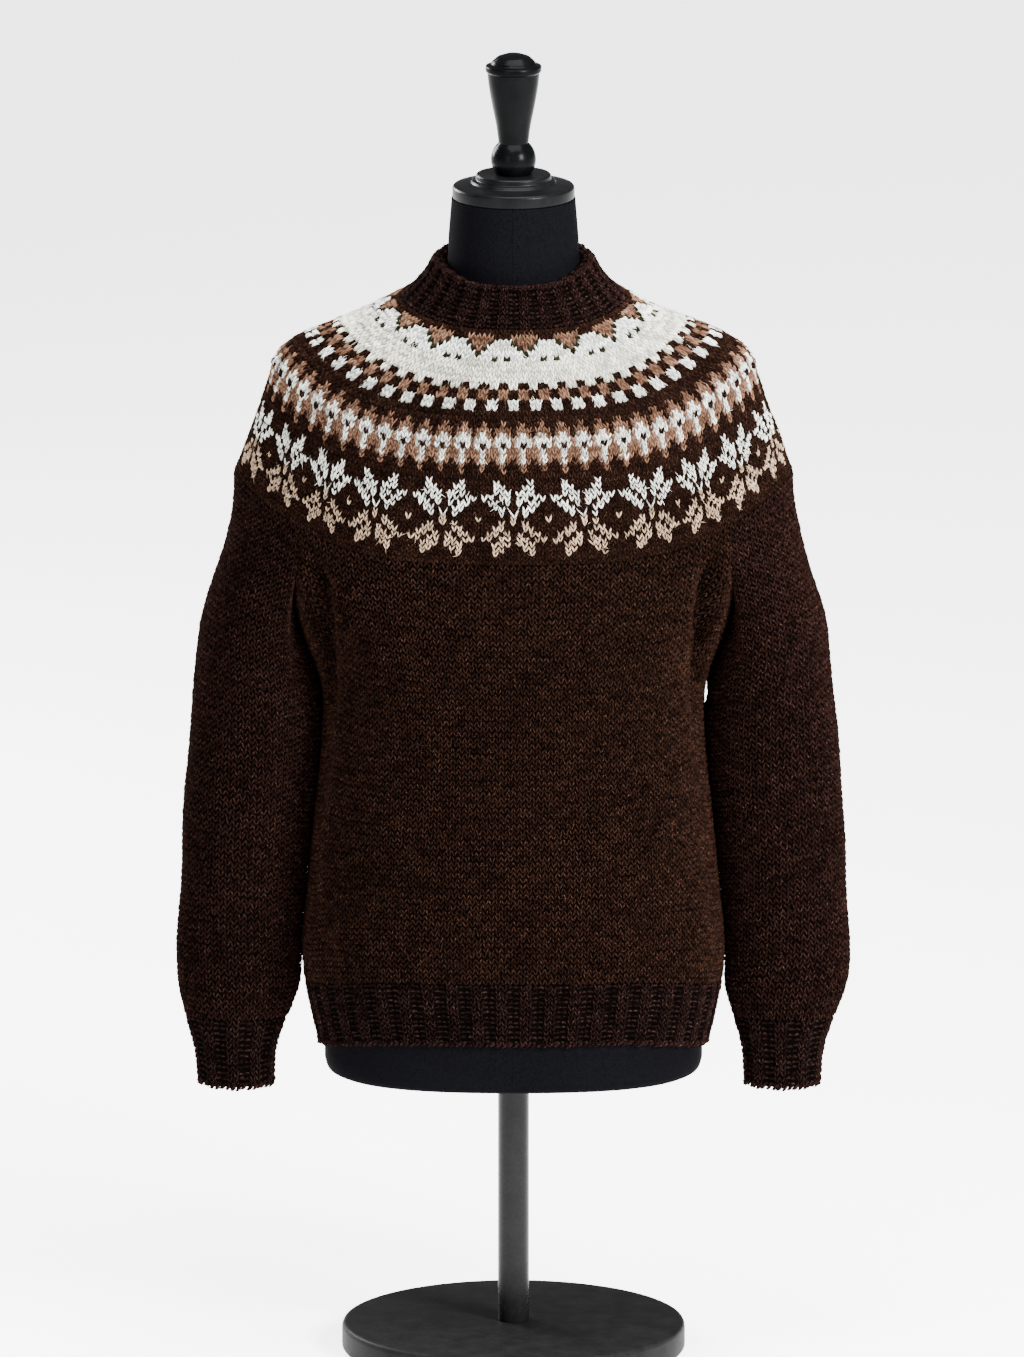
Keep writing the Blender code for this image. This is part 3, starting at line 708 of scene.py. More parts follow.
# Stitches. A leg is a petal through stations, each with its place across (u) and up (v) its
# cell, the step from its middle to its right-hand edge, and how high its middle stands, as
# a share of the stitch's height. Its two ends are points.
KNIT_HEIGHT = 0.0013
SHORT_LEG = (
    (0.5, -0.26, 0.0, 0.0, -0.6),
    (0.64, 0.2, 0.152, -0.06, 0.95),
    (0.87, 0.78, 0.168, -0.07, 0.85),
    (1.04, 1.24, 0.0, 0.0, -0.6),
)
PURL = (
    (-0.08, 0.35, 0.0, 0.0, -0.4),
    (0.3, 0.55, 0.0, -0.3, 0.7),
    (0.7, 0.55, 0.0, -0.3, 0.7),
    (1.08, 0.35, 0.0, 0.0, -0.4),
)
HEART_LEG = (
    # a dark stitch that lies over its light neighbours
    (0.5, -0.42, 0.0, 0.0, 0.2),
    (0.64, 0.1, 0.215, -0.06, 1.95),
    (0.86, 0.66, 0.26, -0.08, 2.1),
    (1.08, 1.16, 0.0, 0.0, 1.0),
)
RAY_LEG = (
    # a light stitch drawn out to both sides by the petals over it
    (0.5, -0.4, 0.0, 0.0, -0.3),
    (0.7, 0.25, 0.15, -0.05, 1.2),
    (1.08, 1.0, 0.115, -0.04, 1.3),
    (1.42, 1.85, 0.0, 0.0, 0.4),
)
TWIST = (
    (-0.2, 0.1, 0.0, 0.0, -0.4),
    (0.28, 0.36, 0.1, -0.3, 0.9),
    (0.72, 0.64, 0.1, -0.3, 0.9),
    (1.2, 0.9, 0.0, 0.0, -0.4),
)
EDGE_DEPTH = 0.0004  # how far a petal's two edges lie under the surface
# Painted shade: how much of its colour the yarn keeps where it turns under, and at its ends
EDGE_PAINTED_SHADE, TIP_PAINTED_SHADE = 0.05, 0.12
HAIR_WIDTH = 0.00026
FIBRE_LENGTH, FIBRE_WIDTH = 0.0034, 0.00022


def petal(stations):
    """Its points as u, v, height and painted shade, and its triangles. The ends close to a point.
    """
    edge = -EDGE_DEPTH / KNIT_HEIGHT
    points = [(*stations[0][:2], stations[0][4], TIP_PAINTED_SHADE)]
    for u, v, step_u, step_v, height in stations[1:-1]:
        points.append((u - step_u, v - step_v, edge, EDGE_PAINTED_SHADE))
        points.append((u, v, height, 1.0))
        points.append((u + step_u, v + step_v, edge, EDGE_PAINTED_SHADE))
    points.append((*stations[-1][:2], stations[-1][4], TIP_PAINTED_SHADE))
    triangles = [(0, 2, 1), (0, 3, 2)]
    for low in range(1, len(points) - 4, 3):
        for a in (low, low + 1):
            triangles += [(a, a + 1, a + 4), (a, a + 4, a + 3)]
    last = len(points) - 1
    triangles += [(last - 3, last - 2, last), (last - 2, last - 1, last)]
    return np.array(points, float), np.array(triangles)


def knit(stations):
    """The V of one knit stitch: a leg and its mirror image."""
    points, triangles = petal(stations)
    other = points * (-1, 1, 1, 1) + (1, 0, 0, 0)
    both = [triangles, triangles[:, ::-1] + len(points)]
    return np.concatenate([points, other]), np.concatenate(both)


PLAIN_KNIT, HEART_KNIT, RAY_KNIT = knit(SHORT_LEG), knit(HEART_LEG), knit(RAY_LEG)
PURL_BUMP, EDGE_TWIST = petal(PURL), petal(TWIST)


def cells_at(u, v, wide, high):
    """The places of many stitches: u and v of each one's lower left corner, and its size."""
    return np.stack(np.broadcast_arrays(u, v, wide, high))


def even_cells(rows, count, shift=0.0):
    """Cells of a tube with the same count in each row. shift is in stitches."""
    row, column = np.meshgrid(np.arange(rows), np.arange(count), indexing="ij")
    u = (column.reshape(-1) + shift) / count
    return cells_at(u, row.reshape(-1) / rows, 1 / count, 1 / rows)


def repeated(triangles, points, count):
    """The triangles of a shape of so many points, for each of its copies."""
    return np.array(triangles)[None] + (np.arange(count) * points)[:, None, None]


def stitches(name, surface, cells, shape, yarn, height=KNIT_HEIGHT, tone=1.0, gap=1.0, loose=1.0):
    """One shape set in each cell, none quite alike. gap is how much of the painted shade at
    the yarn's edges and ends it takes, from 0 for none. tone multiplies its colour, and below 1
    it is painted shade. loose is how uneven they lie."""
    template, triangles = shape
    left, low, wide, high = cells[..., None]
    across, upward, lift, shade = template.T[:, None]
    count = cells.shape[1]
    jitter = rng.normal(0, 1, (6, count, 1)) * loose
    x = (across - 0.5) * (1 + 0.07 * jitter[0]) + 0.5 + 0.05 * jitter[1]
    y = (upward - 0.5) * (1 + 0.06 * jitter[2]) + 0.5 + 0.07 * jitter[3]
    x = x + 0.06 * jitter[5] * (upward - 0.5)
    points, normals = surface.read(left + x * wide, low + y * high)
    rise = lift * height * np.maximum(1 + 0.18 * jitter[4], 0.4)
    points = points + normals * rise[:, :, None]
    stitch_tone_and_painted_shade = tone * rng.uniform(0.55, 1.25, (count, 1))
    # painted shade at the yarn's edges and ends, taken as far as gap says
    shades = np.clip((1 - gap * (1 - shade)) * stitch_tone_and_painted_shade, 0, 1)
    triangles = repeated(triangles, len(template), count)
    return mesh_object(name, points, triangles, [yarn], shades=shades)


def slivers(name, start, middle, end, side, yarn, shades):
    """Thin bent slivers of wool, each through three points, side being half its width."""
    points = np.stack([start - side, start + side, middle + side, middle - side, end], axis=1)
    triangles = repeated([(0, 1, 2), (0, 2, 3), (3, 2, 4)], 5, len(start))
    return mesh_object(name, points, triangles, [yarn], shades=np.repeat(shades, 5))


def hairs(name, surface, cells, share, yarn):
    """Wool hairs that lie over the stitches, mostly along them."""
    count = int(cells.shape[1] * share)
    left, low, wide, high = cells[:, rng.integers(0, cells.shape[1], count)]
    u, v = left + wide * rng.random(count), low + high * rng.random(count)
    run_u, run_v = wide * rng.normal(0, 0.45, count), high * rng.normal(0, 0.7, count)
    found = []
    for part, lift in ((0.0, 0.6), (0.5, 1.0), (1.0, 0.5)):
        point, normal = surface.read(u + run_u * part, v + run_v * part)
        height = KNIT_HEIGHT * (0.7 + lift * rng.uniform(0.1, 0.9, (count, 1)))
        found.append(point + normal * height)
    side = np.cross(found[2] - found[0], normal)
    side *= HAIR_WIDTH / 2 / np.maximum(np.linalg.norm(side, axis=1, keepdims=True), 1e-9)
    return slivers(name, *found, side, yarn, rng.uniform(0.6, 1.1, count))


def fibres(name, surface, count, yarn):
    """Loose ends of wool that stand off the cloth."""
    start, normal = surface.read(rng.random(count), rng.random(count))
    start = start + normal * KNIT_HEIGHT * 0.5
    lean = rng.normal(0, 1, (count, 3))
    lean = unit(lean - (lean * normal).sum(1, keepdims=True) * normal)
    across = np.cross(normal, lean)
    size = FIBRE_LENGTH * rng.uniform(0.4, 1.3, (count, 1))
    stand = rng.uniform(0.15, 0.75, (count, 1))
    middle = start + size * (0.5 * lean + 0.55 * stand * normal)
    bend = rng.normal(0, 0.22, (count, 1)) * across
    end = start + size * (0.9 * lean + 0.8 * stand * normal + bend)
    return slivers(name, start, middle, end, across * FIBRE_WIDTH / 2, yarn, np.full(count, 0.9))


# Stitch counts round each piece, and its rows
BODY_STITCHES, BODY_ROUNDS = 184, 78
RIB_ROUNDS = 12
SLEEVE_ROUNDS = 90
SLEEVE_STITCHES = (46.0, 68.0)  # at the cuff and at the underarm
# Where an edge's twisted row lies (its v and its share of the height), and how high it is
HEM_EDGE, NECK_EDGE = (-0.055, 0.11, 0.002), (0.7, 0.09, 0.0018)

# The yoke's chart, from the neckband down. Each band has its count of stitches,
# how much of its first stitch lies before the front centre, and its rounds: one repeat of
# yarns from the front centre towards +X. YARN_OF says what its letters are.
UPPER_CHARTS = (
    (128, 0.5, ("........", "rrrrr...", "orrrowww", "worowwww", "wwowwwww", "wwwwwowo")),
    (172, 0.5, ("c",) * 4),
    (196, 0.0, ("c..c", ".rr.", ".rr.", "w..w", "w..w", "....", "....")),
    (
        240,
        0.5,
        ("..r.", ".rrr", ".rwr", "rwww", "rwhw", "rrwr", "rrwr", ".rwr", "..r.", "..r.", "...."),
    ),
)


def star_rounds():
    """The rosette band: its upper half in white, the middle, and its mirror in beige."""
    upper = (
        # column -6 to 5 about the centre
        "...w.....w..",
        "...ww...ww..",
        "...www.www..",
        ".ww.ww.ww.ww",
        "..ww.w.w.ww.",
        "...ww...ww..",
        "....w.y.w...",
    )
    lower = [each.replace("w", "b").replace("y", "b") for each in upper[::-1]]
    rounds = [*upper, "b.....b.....", *lower]
    return [each[6:] + each[:6] for each in rounds] + ["............"] * 2


YARN_OF = {
    ".": "wool_brown",
    "w": "wool_white",
    "c": "wool_cream",
    "b": "wool_beige",
    "r": "wool_rose",
    "o": "wool_olive",
    "h": "wool_brown",
    "y": "wool_white",
}
YOKE_ROUND_COUNT = 44.5
# Where the chart's rounds lie on the yoke, in rows down from the neckband
CHART_ROUNDS = (0, 10, 11, 13, 15, 17, 27, 28, 43, 45)
CHART_PLACES = (0.0, 10.0, 11.15, 13.2, 15.1, 17.4, 26.8, 28.35, 42.4, 44.5)
STAR_ROUND = 28  # the first one, where the stitches draw closer over the arms
STAR_COUNT, STAR_CLOSER = 264, 0.33


def arm_density(points):
    """How much closer the lower yoke's stitches lie over the arms than in front."""
    return 1 + STAR_CLOSER * smoothstep((np.abs(points[:, 0]) - 0.09) / 0.07)


def yoke_surface(density=None):
    angles = ring_angles(2048)
    rows = []
    for row in np.linspace(YOKE_ROUND_COUNT, 0, DENSE_ROWS):
        sizes = read_table(YOKE_ROUNDS, [row])[0]
        rows.append(spaced(round_points(angles, sizes), DENSE_AROUND, density))
    return Surface(rows, yoke_relief)


def yoke_relief(points, u, v):
    """Slightly uneven rounds, fading out at both edges."""
    fade = edge_fade(v, 0.12, 0.12)
    return fade * waves(points, (0.0005, 7.0, 0.0, 4.0, 0.4), (0.0004, -11.0, 6.0, 9.0, 1.9))


# How far the sleeve's inner side is pressed towards the body, in millimetres by height
AGAINST_HEIGHTS = (0.44, 0.48, 0.52, 0.54, 0.56, 0.58, 0.6, 0.62, 0.64, 0.66, 0.68, 0.7, 0.73)
AGAINST_MM = (0.8, -0.5, -1.2, -0.4, 0.9, 2.7, 5.7, 6.2, 6.4, 5.4, 3.8, 2.0, 0.0)
SLIT_Z, SLIT_REACH = 0.603, 0.01  # where the left sleeve stands off the body

# The groove between the chest and the fold under each arm, and the ridge beside it
GROOVE_X, GROOVE_Z, GROOVE_LEAN = 0.17, 0.68, 0.05
GROOVE_DEPTH, GROOVE_WIDTH = 0.014, 0.0075
GROOVE_LOW, GROOVE_HIGH, GROOVE_FADE = 0.585, 0.72, 0.045
RIDGE_OFF, RIDGE_HEIGHT, RIDGE_WIDTH = 0.017, 0.003, 0.008


def body_relief(points, u, v):
    """The soft troughs and ridges of worn wool: it gathers over the rib, and it is uneven."""
    fade = edge_fade(v, 0.05, 0.08)
    gather = bell(v, 0.09, 0.1) * smoothstep(v / 0.05)
    upright = 0.0011 * np.sin(2 * math.pi * 13 * u + 1.2 * np.sin(2 * math.pi * 5 * u))
    soft = waves(
        points,
        (0.0008, 4.1, 3.0, 2.2, 0.3),
        (0.0006, -6.3, 4.0, 4.4, 2.1),
        (0.0005, 9.0, -5.0, 6.1, 4.0),
    )
    side = smoothstep((np.abs(points[..., 1]) - 0.02) / 0.05)
    return (gather * upright + fade * soft) * side - underarm_groove(points) * fade


def underarm_groove(points):
    """The deep upright groove between the chest and the fold under each arm."""
    x, z = np.abs(points[..., 0]), points[..., 2]
    place = GROOVE_X + GROOVE_LEAN * (z - GROOVE_Z)
    reach = smoothstep((z - GROOVE_LOW) / GROOVE_FADE)
    reach *= 1 - smoothstep((z - GROOVE_HIGH) / GROOVE_FADE)
    across, ridge = bell(x, place, GROOVE_WIDTH), bell(x - place, RIDGE_OFF, RIDGE_WIDTH)
    faces_out = smoothstep((np.abs(points[..., 1]) - 0.035) / 0.035)
    return reach * faces_out * (GROOVE_DEPTH * across - RIDGE_HEIGHT * ridge)


def sleeve_relief(points, u, v):
    """Shallow creases across the elbow, and the inner side drawn against the body."""
    fade = edge_fade(v, 0.04, 0.1)
    inner = 0.5 - 0.5 * np.cos(2 * math.pi * u)
    elbow = bell(v, 0.5, 0.16) * inner
    creases = 0.0012 * np.sin(2 * math.pi * (points[..., 2] * 17 + 2.0 * u))
    soft = waves(points, (0.0007, 5.0, 4.0, 5.0, 1.0), (0.0005, -8.0, 3.0, 9.0, 2.6))
    z = points[..., 2]
    facing = bell(u, 0.5, 0.12)
    slit = np.where(points[..., 0] > 0, bell(z, SLIT_Z, SLIT_REACH), 0.0)
    pressed = np.interp(z, AGAINST_HEIGHTS, AGAINST_MM) / 1000 * (1 - 0.7 * slit)
    return fade * (elbow * creases + soft) * (1 - 0.95 * facing) + pressed * facing


def rib_height(u, count, centre):
    """How far a 2x2 rib stands out along u, from 0 in its valleys to 1 on its ridges."""
    off = np.abs((u * count - centre + 0.5) % 1.0 - 0.5)
    return 1 - smoothstep((off - 0.16) / RIB_WIDTH)


def body_surface():
    rows = [spaced(smooth_ring(ring), DENSE_AROUND) for ring in body_rows()]
    return Surface(rows, body_relief)


def rib_relief(rise, count, centre):
    """The relief of a 2x2 rib that flattens towards the piece over it."""

    def relief(points, u, v):
        return rise * rib_height(u, count, centre) * (1 - 0.6 * smoothstep((v - 0.85) / 0.15))

    return relief


def hem_surface():
    angles = ring_angles(1024)
    low_z = edge_heights(angles, HEM_SIDE_Z, HEM_FRONT_Z, HEM_BACK_Z)
    rows = []
    for share in np.linspace(0, 1, 61):
        *sizes, squareness = read_table(HEM_SECTIONS, [share])[0]
        x, y = oval(angles, *(size - HEM_RISE for size in sizes), squareness)
        ring = np.stack([x, y, low_z + (RIB_HEIGHT - SEAM) * share], axis=1)
        rows.append(spaced(ring, HEM_RIBS * 24))
    return Surface(rows, rib_relief(HEM_RISE, HEM_RIBS, RIB_CENTRE))


def sleeve_surface(side):
    rows = [spaced(smooth_ring(ring), DENSE_AROUND) for ring in hang(sleeve_rows(), side)]
    return Surface(rows, sleeve_relief)


def cuff_surface(side):
    rings = []
    for height in np.linspace(CUFF_BOTTOM, CUFF_TOP - SEAM, 41):
        sizes = read_table(CUFF_SECTIONS, [height])[0] + (-CUFF_RISE, CUFF_RISE, -CUFF_RISE)
        rings.append(sleeve_ring(ring_angles(720), *sizes, height))
    rows = [spaced(ring, CUFF_RIBS * 48) for ring in hang(rings, side)]
    return Surface(rows, rib_relief(CUFF_RISE, CUFF_RIBS, CUFF_CENTRE))


def neck_surface():
    """The neckband's outside from its foot, up and over its edge, and down to the neck."""
    inner = np.array(NECK_SECTIONS[2]) + (SEAT, 0, SEAT, 0, SEAT, 0)
    sections = (YOKE_ROUNDS[0][1:], *NECKBAND_SECTIONS, inner)
    rings = along([round_points(ring_angles(1024), each) for each in sections], 97)

    def relief(points, u, v):
        share = smoothstep(v / 0.2) * (1 - smoothstep((v - 0.66) / 0.14))
        return NECK_RISE * share * (rib_height(u, NECK_RIBS, RIB_CENTRE) - 1)

    return Surface([spaced(ring, NECK_RIBS * 36) for ring in rings], relief)


def chart_rounds(bands):
    """Each round of the chart: its row, its count of stitches, its shift and its yarns."""
    row = 0
    for count, shift, rounds in bands:
        for repeat in rounds:
            yield row, count, shift, repeat
            row += 1


def chart_cells():
    """The yoke's cells and the yarn of each, for the evenly spaced upper rounds and for the
    rounds from the rosettes down."""
    found = {"upper": ([], []), "lower": ([], [])}
    bands = (*UPPER_CHARTS, (STAR_COUNT, 0.5, star_rounds()))
    for row, count, shift, repeat in chart_rounds(bands):
        ends = np.interp((row, row + 1), CHART_ROUNDS, CHART_PLACES) / YOKE_ROUND_COUNT
        u = (np.arange(count) - shift) / count
        cells, yarns = found["lower" if row >= STAR_ROUND else "upper"]
        cells.append(cells_at(u, 1 - ends[1], 1 / count, ends[1] - ends[0]))
        yarns.append(np.array(list(repeat))[np.arange(count) % len(repeat)])
    return {part: [np.concatenate(each, axis=-1) for each in both] for part, both in found.items()}


def yoke_yarn(u, v):
    """The yarn behind each place of the upper yoke, so that no dark cloth shows through."""
    found = np.zeros(u.shape, int)
    order = list(YARN_OF)
    place = np.interp((1 - v) * YOKE_ROUND_COUNT, CHART_PLACES, CHART_ROUNDS)
    for row, count, shift, repeat in chart_rounds(UPPER_CHARTS):
        column = np.floor(u * count + shift).astype(int) % count
        codes = np.array([order.index(letter) for letter in repeat])
        here = np.floor(place).astype(int) == row
        found = np.where(here, codes[column % len(repeat)], found)
    return found


def make_yoke():
    even, closer = yoke_surface(), yoke_surface(arm_density)
    charts = chart_cells()
    yarns = list(YARN_OF.values())
    cloth = wall("yoke_cloth", even, 68, 240, WALL, yarns, yarn_at=yoke_yarn, shade=YOKE_PAINTED_SHADE)
    knitted = []
    for letter, yarn in YARN_OF.items():
        for part, surface in (("upper", even), ("lower", closer)):
            cells, letters = charts[part]
            own = cells[:, letters == letter]
            if not own.size:
                continue
            colour = {"h": "hearts", "y": "rays"}.get(letter, yarn.split("_")[1])
            shape = {"h": HEART_KNIT, "y": RAY_KNIT}.get(letter, PLAIN_KNIT)
            # the light yarns take less of the painted shade at their edges and ends, and lie
            # looser
            gap, loose = (1.0, 1.0) if letter in ".oh" else (0.8, 1.7)
            name = f"yoke_{part}_{colour}"
            knitted.append(stitches(name, surface, own, shape, yarn, gap=gap, loose=loose))
            if letter not in "hy":
                share = 0.5 if letter == "." else 0.9
                knitted.append(hairs(name + "_hairs", surface, own, share, yarn))
    knitted.append(fibres("yoke_fibres", even, 1500, "wool_brown"))
    low, high, rise = even.lengths()
    declare(cloth, "yoke_wool", ((low + high) / 2, rise), "draped", "form_cover", knitted)


def declare(cloth, slot, flat, held, rests_on, knitted):
    """Hides the solid that the cloth stands for. slot and flat, its slot and the flat sheet it is,
    are not used.
    """
    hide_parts(cloth.name.removesuffix("_cloth"))


def make_body():
    surface = body_surface()
    cloth = wall("body_cloth", surface, 60, BODY_STITCHES, WALL, ["wool_brown"])
    cells = even_cells(BODY_ROUNDS, BODY_STITCHES)
    middle = (cells[0] + cells[2] / 2) % 1.0
    front = (middle < 0.25) | (middle > 0.75)
    knitted = [
        stitches("body_stitches_front", surface, cells[:, front], PLAIN_KNIT, "wool_brown"),
        stitches("body_stitches_back", surface, cells[:, ~front], PLAIN_KNIT, "wool_brown"),
        hairs("body_hairs", surface, cells, 0.3, "wool_brown"),
        fibres("body_fibres", surface, 1800, "wool_brown"),
    ]
    declare(cloth, "body_wool", (1.03, 0.4), "hung", "yoke_cloth", knitted)


def make_rib(name, surface, ribs, centre, cloth, edge, fibre_count, *sheet):
    """A 2x2 rib: its cloth, its knit and purl stitches, and a twisted row along its edge, as
    a cast-on or a cast-off leaves. sheet is not used."""
    rows, thickness, rise = cloth
    made = wall(name + "_cloth", surface, rows, ribs * 12, thickness, ["wool_rib"], rise)
    columns = ribs * 4
    cells = even_cells(RIB_ROUNDS, columns, (centre * 4 - 1) % 1.0)
    place = ((cells[0] + cells[2] / 2) * ribs - centre + 0.5) % 1.0 - 0.5
    ridge = np.abs(place) < 0.25
    low, high, height = edge
    row = cells_at(np.arange(columns) / columns, low, 1 / columns, high)
    knitted = [
        stitches(name + "_knit", surface, cells[:, ridge], PLAIN_KNIT, "wool_rib", 0.0012),
        # the purl stitches in the valleys keep 0.75 of their colour: painted shade
        stitches(name + "_purl", surface, cells[:, ~ridge], PURL_BUMP, "wool_rib", 0.0008, 0.75),
        stitches(name + "_edge", surface, row, EDGE_TWIST, "wool_rib", height),
        fibres(name + "_fibres", surface, fibre_count, "wool_rib"),
    ]
    declare(made, *sheet, knitted)


def make_hem():
    sheet = ("body_wool", (0.98, 0.058), "hung", "body_cloth")
    cloth = (14, RIB_WALL, 0.0008)
    make_rib("hem_rib", hem_surface(), HEM_RIBS, RIB_CENTRE, cloth, HEM_EDGE, 900, *sheet)


def sleeve_cells():
    """Columns at an even pitch from the outer line to the inner one, where the increases
    lie under one column of their own."""
    found = []
    first, last = SLEEVE_STITCHES
    for row in range(SLEEVE_ROUNDS):
        count = first + (last - first) * ((row + 0.5) / SLEEVE_ROUNDS)
        half = int(count / 2 - 0.5)
        for u in (np.arange(-half, half) / count, [0.5 - 0.5 / count]):
            found.append(cells_at(u, row / SLEEVE_ROUNDS, 1 / count, 1 / SLEEVE_ROUNDS))
    return np.concatenate(found, axis=1)


def make_sleeve(side):
    surface = sleeve_surface(side)
    name = f"sleeve_{side}"
    cloth = wall(name + "_cloth", surface, 64, 96, WALL, ["wool_sleeve"])
    cells = sleeve_cells()
    knitted = [
        stitches(name + "_stitches", surface, cells, PLAIN_KNIT, "wool_sleeve"),
        hairs(name + "_hairs", surface, cells, 0.3, "wool_sleeve"),
        fibres(name + "_fibres", surface, 1000, "wool_sleeve"),
    ]
    declare(cloth, "sleeve_wool", (0.33, 0.47), "hung", "yoke_cloth", knitted)


def make_cuff(side):
    sheet = ("sleeve_wool", (0.21, 0.062), "hung", f"sleeve_{side}_cloth")
    name, cloth = f"cuff_{side}", (14, RIB_WALL, 0.0006)
    make_rib(name, cuff_surface(side), CUFF_RIBS, CUFF_CENTRE, cloth, HEM_EDGE, 350, *sheet)


def make_neckband():
    sheet = ("body_wool", (0.52, 0.062), "stretched", "form_cover")
    cloth = (36, 0.0022, 0.0)
    make_rib("neckband", neck_surface(), NECK_RIBS, RIB_CENTRE, cloth, NECK_EDGE, 1100, *sheet)


SEAM_WIDTH, SEAM_HEIGHT = 0.0022, 0.0006  # of the form's cover


def capped(name, rings, material_name, smooth_angle, node):
    """A skin over level rings, closed at both ends, in place of one of the frame's solids."""
    count, around = rings.shape[:2]
    centres = [(0, 0, rings[0, 0, 2]), (0, 0, rings[-1, 0, 2])]
    points = np.concatenate([rings.reshape(-1, 3), centres])
    i = np.arange(around)
    j = (i + 1) % around
    low, last = count * around, (count - 1) * around
    triangles = [
        grid_triangles(count, around, False),
        np.stack([j, i, np.full(around, low)], axis=1),
        np.stack([last + i, last + j, np.full(around, low + 1)], axis=1),
    ]
    made = mesh_object(name, points, np.concatenate(triangles), [material_name])
    made.data.set_sharp_from_angle(angle=math.radians(smooth_angle))
    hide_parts(node)


def make_form():
    """The form under the sweater: torso, shoulders and neck in one smooth skin."""
    angles = yoke_angles()
    rings = [round_points(angles, each[:6], each[6]) for each in FORM_SECTIONS]
    rows = np.array([round_points(angles, row[1:]) for row in reversed(YOKE_ROUNDS)])
    carried = sum(row[0] <= SHOULDER_ROW for row in YOKE_ROUNDS)
    rings += list((rows - (WALL + SEAT) * outward(rows))[-carried:])
    rings += [round_points(angles, each) for each in NECK_SECTIONS]
    for circle in ((NECK_THROAT_RADIUS, NECK_THROAT_Z), (NECK_TOP_RADIUS, NECK_TOP)):
        rings.append(round_points(angles, circle * 3))
    rings = [spaced(smooth_ring(ring), 128) for ring in rings]
    skin = np.concatenate([along(rings[:3], 8)[:-1], along(rings[2:], 100)])
    capped("form_cover", skin, "form_cover", 50, "form_torso")
    make_form_seam(skin)


def make_form_seam(skin):
    """The cover's upright seams, in the middle of the front and of the back."""
    points, triangles = [], []
    depths = skin[..., 1].mean(axis=0)
    for column in (depths.argmin(), depths.argmax()):
        line = skin[:, column] * (0, 1, 1)
        out = np.sign(line[:, 1:2]) * (0, 1, 0)
        side = np.array((SEAM_WIDTH / 2, 0, 0)) * np.sign(line[0, 1])
        first = len(points) * len(line) * 3
        points.append(np.stack([line + side, line + out * SEAM_HEIGHT, line - side], axis=1))
        for row in range(len(line) - 1):
            for a in (first + row * 3, first + row * 3 + 1):
                triangles += [(a, a + 1, a + 4), (a, a + 4, a + 3)]
    mesh_object("form_seam", np.concatenate(points), triangles, ["form_cover"])


def rounded(profile, radius, steps=4):
    """A turned profile with each of its corners rounded."""
    points = [np.array(each, float) for each in profile]
    found = [points[0]]
    for before, corner, after in zip(points, points[1:], points[2:]):
        into, out = corner - before, after - corner
        size = min(radius, 0.42 * np.linalg.norm(into), 0.42 * np.linalg.norm(out))
        start = corner - into / np.linalg.norm(into) * size
        end = corner + out / np.linalg.norm(out) * size
        for t in np.linspace(0, 1, steps):
            found.append(start * (1 - t) ** 2 + corner * 2 * t * (1 - t) + end * t * t)
    return [*found, points[-1]]


def turned(name, profile, steps, material_name, node):
    """A finer solid of revolution in place of the frame's, from the bottom up."""
    angles = np.arange(steps) * 2 * math.pi / steps
    rings = []
    for radius, height in profile:
        ring = (radius * np.cos(angles), radius * np.sin(angles), np.full(steps, height))
        rings.append(np.stack(ring, axis=1))
    capped(name, np.array(rings), material_name, 40, node)


def finial_outline():
    """The ball, and the cone, collar and dome on smooth curves between their corners."""
    low = math.asin((FINIAL_BOTTOM - BALL_Z) / BALL_RADIUS)
    high = math.acos(FINIAL_PROFILE[0][0] / BALL_RADIUS)
    turn = np.linspace(low, high, 24)
    ball = [(BALL_RADIUS * math.cos(a), BALL_Z + BALL_RADIUS * math.sin(a)) for a in turn]
    cone = np.array(FINIAL_PROFILE[:5])
    heights = np.linspace(cone[0, 1], cone[-1, 1], 24)
    radii = read_table(cone[:, ::-1], heights)[:, 0]
    shaft = list(zip(radii, heights))
    return [*ball[:-1], *shaft[:-1], *rounded([shaft[-1], *FINIAL_PROFILE[5:]], 0.0012)]


def make_stand():
    turned("cap_turned", rounded(CAP_PROFILE, 0.0008), 96, "cap_paint", "neck_cap")
    turned("finial_turned", finial_outline(), 72, "satin_paint", "finial")
    pole = [(POLE_RADIUS, BASE_HEIGHT + SEAM), (POLE_RADIUS, FORM_BOTTOM - SEAM)]
    turned("pole_tube", pole, 72, "pole_paint", "pole")
    turned("base_disc", rounded(BASE_PROFILE, 0.0015), 160, "base_paint", "base")


LIGHTS = (
    # name, place, height of its aim, width and height, watts
    ("key", (2.2, -2.3, 2.1), 0.66, (1.0, 1.3), 600.0),
    ("fill", (-1.6, -2.9, 1.7), 0.66, (1.0, 1.6), 45.0),
    ("back", (-2.3, 2.4, 1.7), 0.66, (1.4, 1.4), 300.0),
    ("top", (0.2, -0.5, 3.1), 0.7, (2.2, 1.8), 300.0),
)
WHITE = (1.0, 1.0, 1.0)
FLOOR_REACH = 30.0
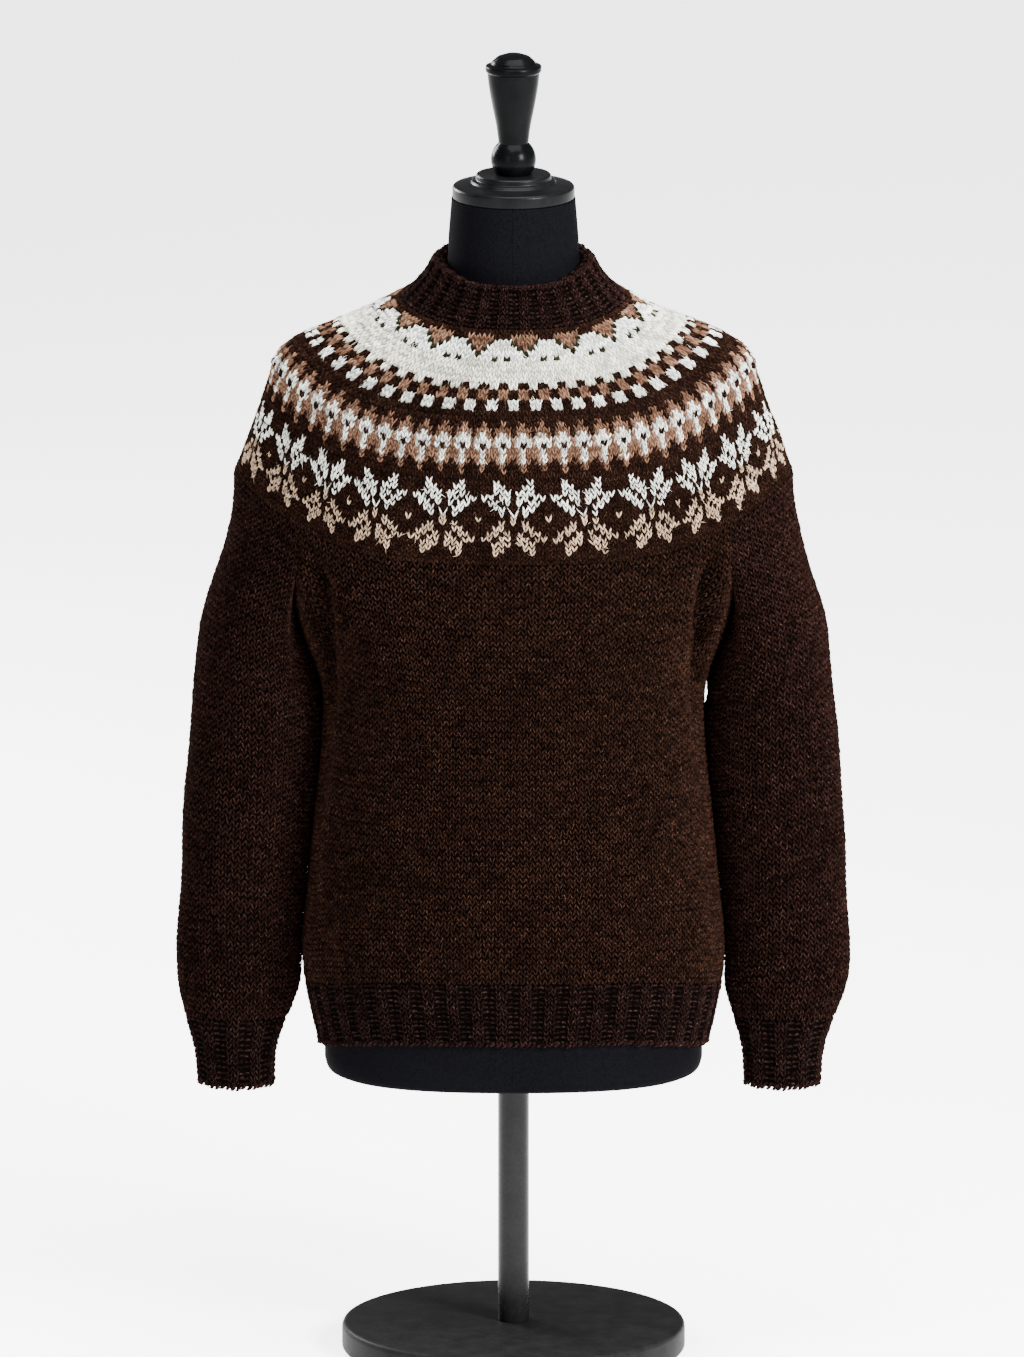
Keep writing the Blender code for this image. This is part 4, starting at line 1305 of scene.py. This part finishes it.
# The camera: its angle over the level, its distance, the width it shows and its aim
CAMERA_ANGLE, CAMERA_DISTANCE, CAMERA_SHOWN = 12.75, 30.0, 1.2213
CAMERA_AIM = (-0.00135, 0.0, 0.619)


def add_object(name, data):
    made = bpy.data.objects.new(name, data)
    bpy.context.scene.collection.objects.link(made)
    return made


def face(made, towards):
    made.rotation_euler = Vector(towards).to_track_quat("-Z", "Y").to_euler()


def area_light(name, place, aim_height, size, power):
    light = bpy.data.lights.new(name, "AREA")
    light.shape = "RECTANGLE"
    light.size, light.size_y = size
    light.energy = power
    made = add_object(name, light)
    made.location = place
    face(made, np.array((0, 0, aim_height), float) - np.array(place, float))


def make_studio():
    mesh = bpy.data.meshes.new("floor")
    side = FLOOR_REACH
    corners = [(-side, -side, 0), (side, -side, 0), (side, side, 0), (-side, side, 0)]
    mesh.from_pydata(corners, [], [(0, 1, 2, 3)])
    tree, shader = new_material("floor_white")
    set_inputs(tree, shader, Base_Color=(0.93, 0.93, 0.93), Roughness=0.9)
    set_inputs(tree, shader, Emission_Color=WHITE, Emission_Strength=3.2)
    mesh.materials.append(MADE["floor_white"])
    add_object("floor", mesh)
    world = bpy.data.worlds.new("studio")
    world.use_nodes = True
    set_inputs(world.node_tree, world.node_tree.nodes["Background"], Color=WHITE, Strength=0.22)
    bpy.context.scene.world = world
    for light in LIGHTS:
        area_light(*light)


def make_camera():
    """A long lens from a little above, at the photograph's angle and frame."""
    data = bpy.data.cameras.new("camera")
    data.lens = 36.0 * CAMERA_DISTANCE / CAMERA_SHOWN
    data.clip_start, data.clip_end = 1.0, 100.0
    camera = add_object("camera", data)
    elevation = math.radians(CAMERA_ANGLE)
    back = Vector((0.0, -math.cos(elevation), math.sin(elevation)))
    camera.location = Vector(CAMERA_AIM) + back * CAMERA_DISTANCE
    face(camera, -back)
    bpy.context.scene.camera = camera


def main():
    make_materials()
    make_yoke()
    make_body()
    make_hem()
    for side in ("left", "right"):
        make_sleeve(side)
        make_cuff(side)
    make_neckband()
    make_form()
    make_stand()
    make_studio()
    make_camera()


main()
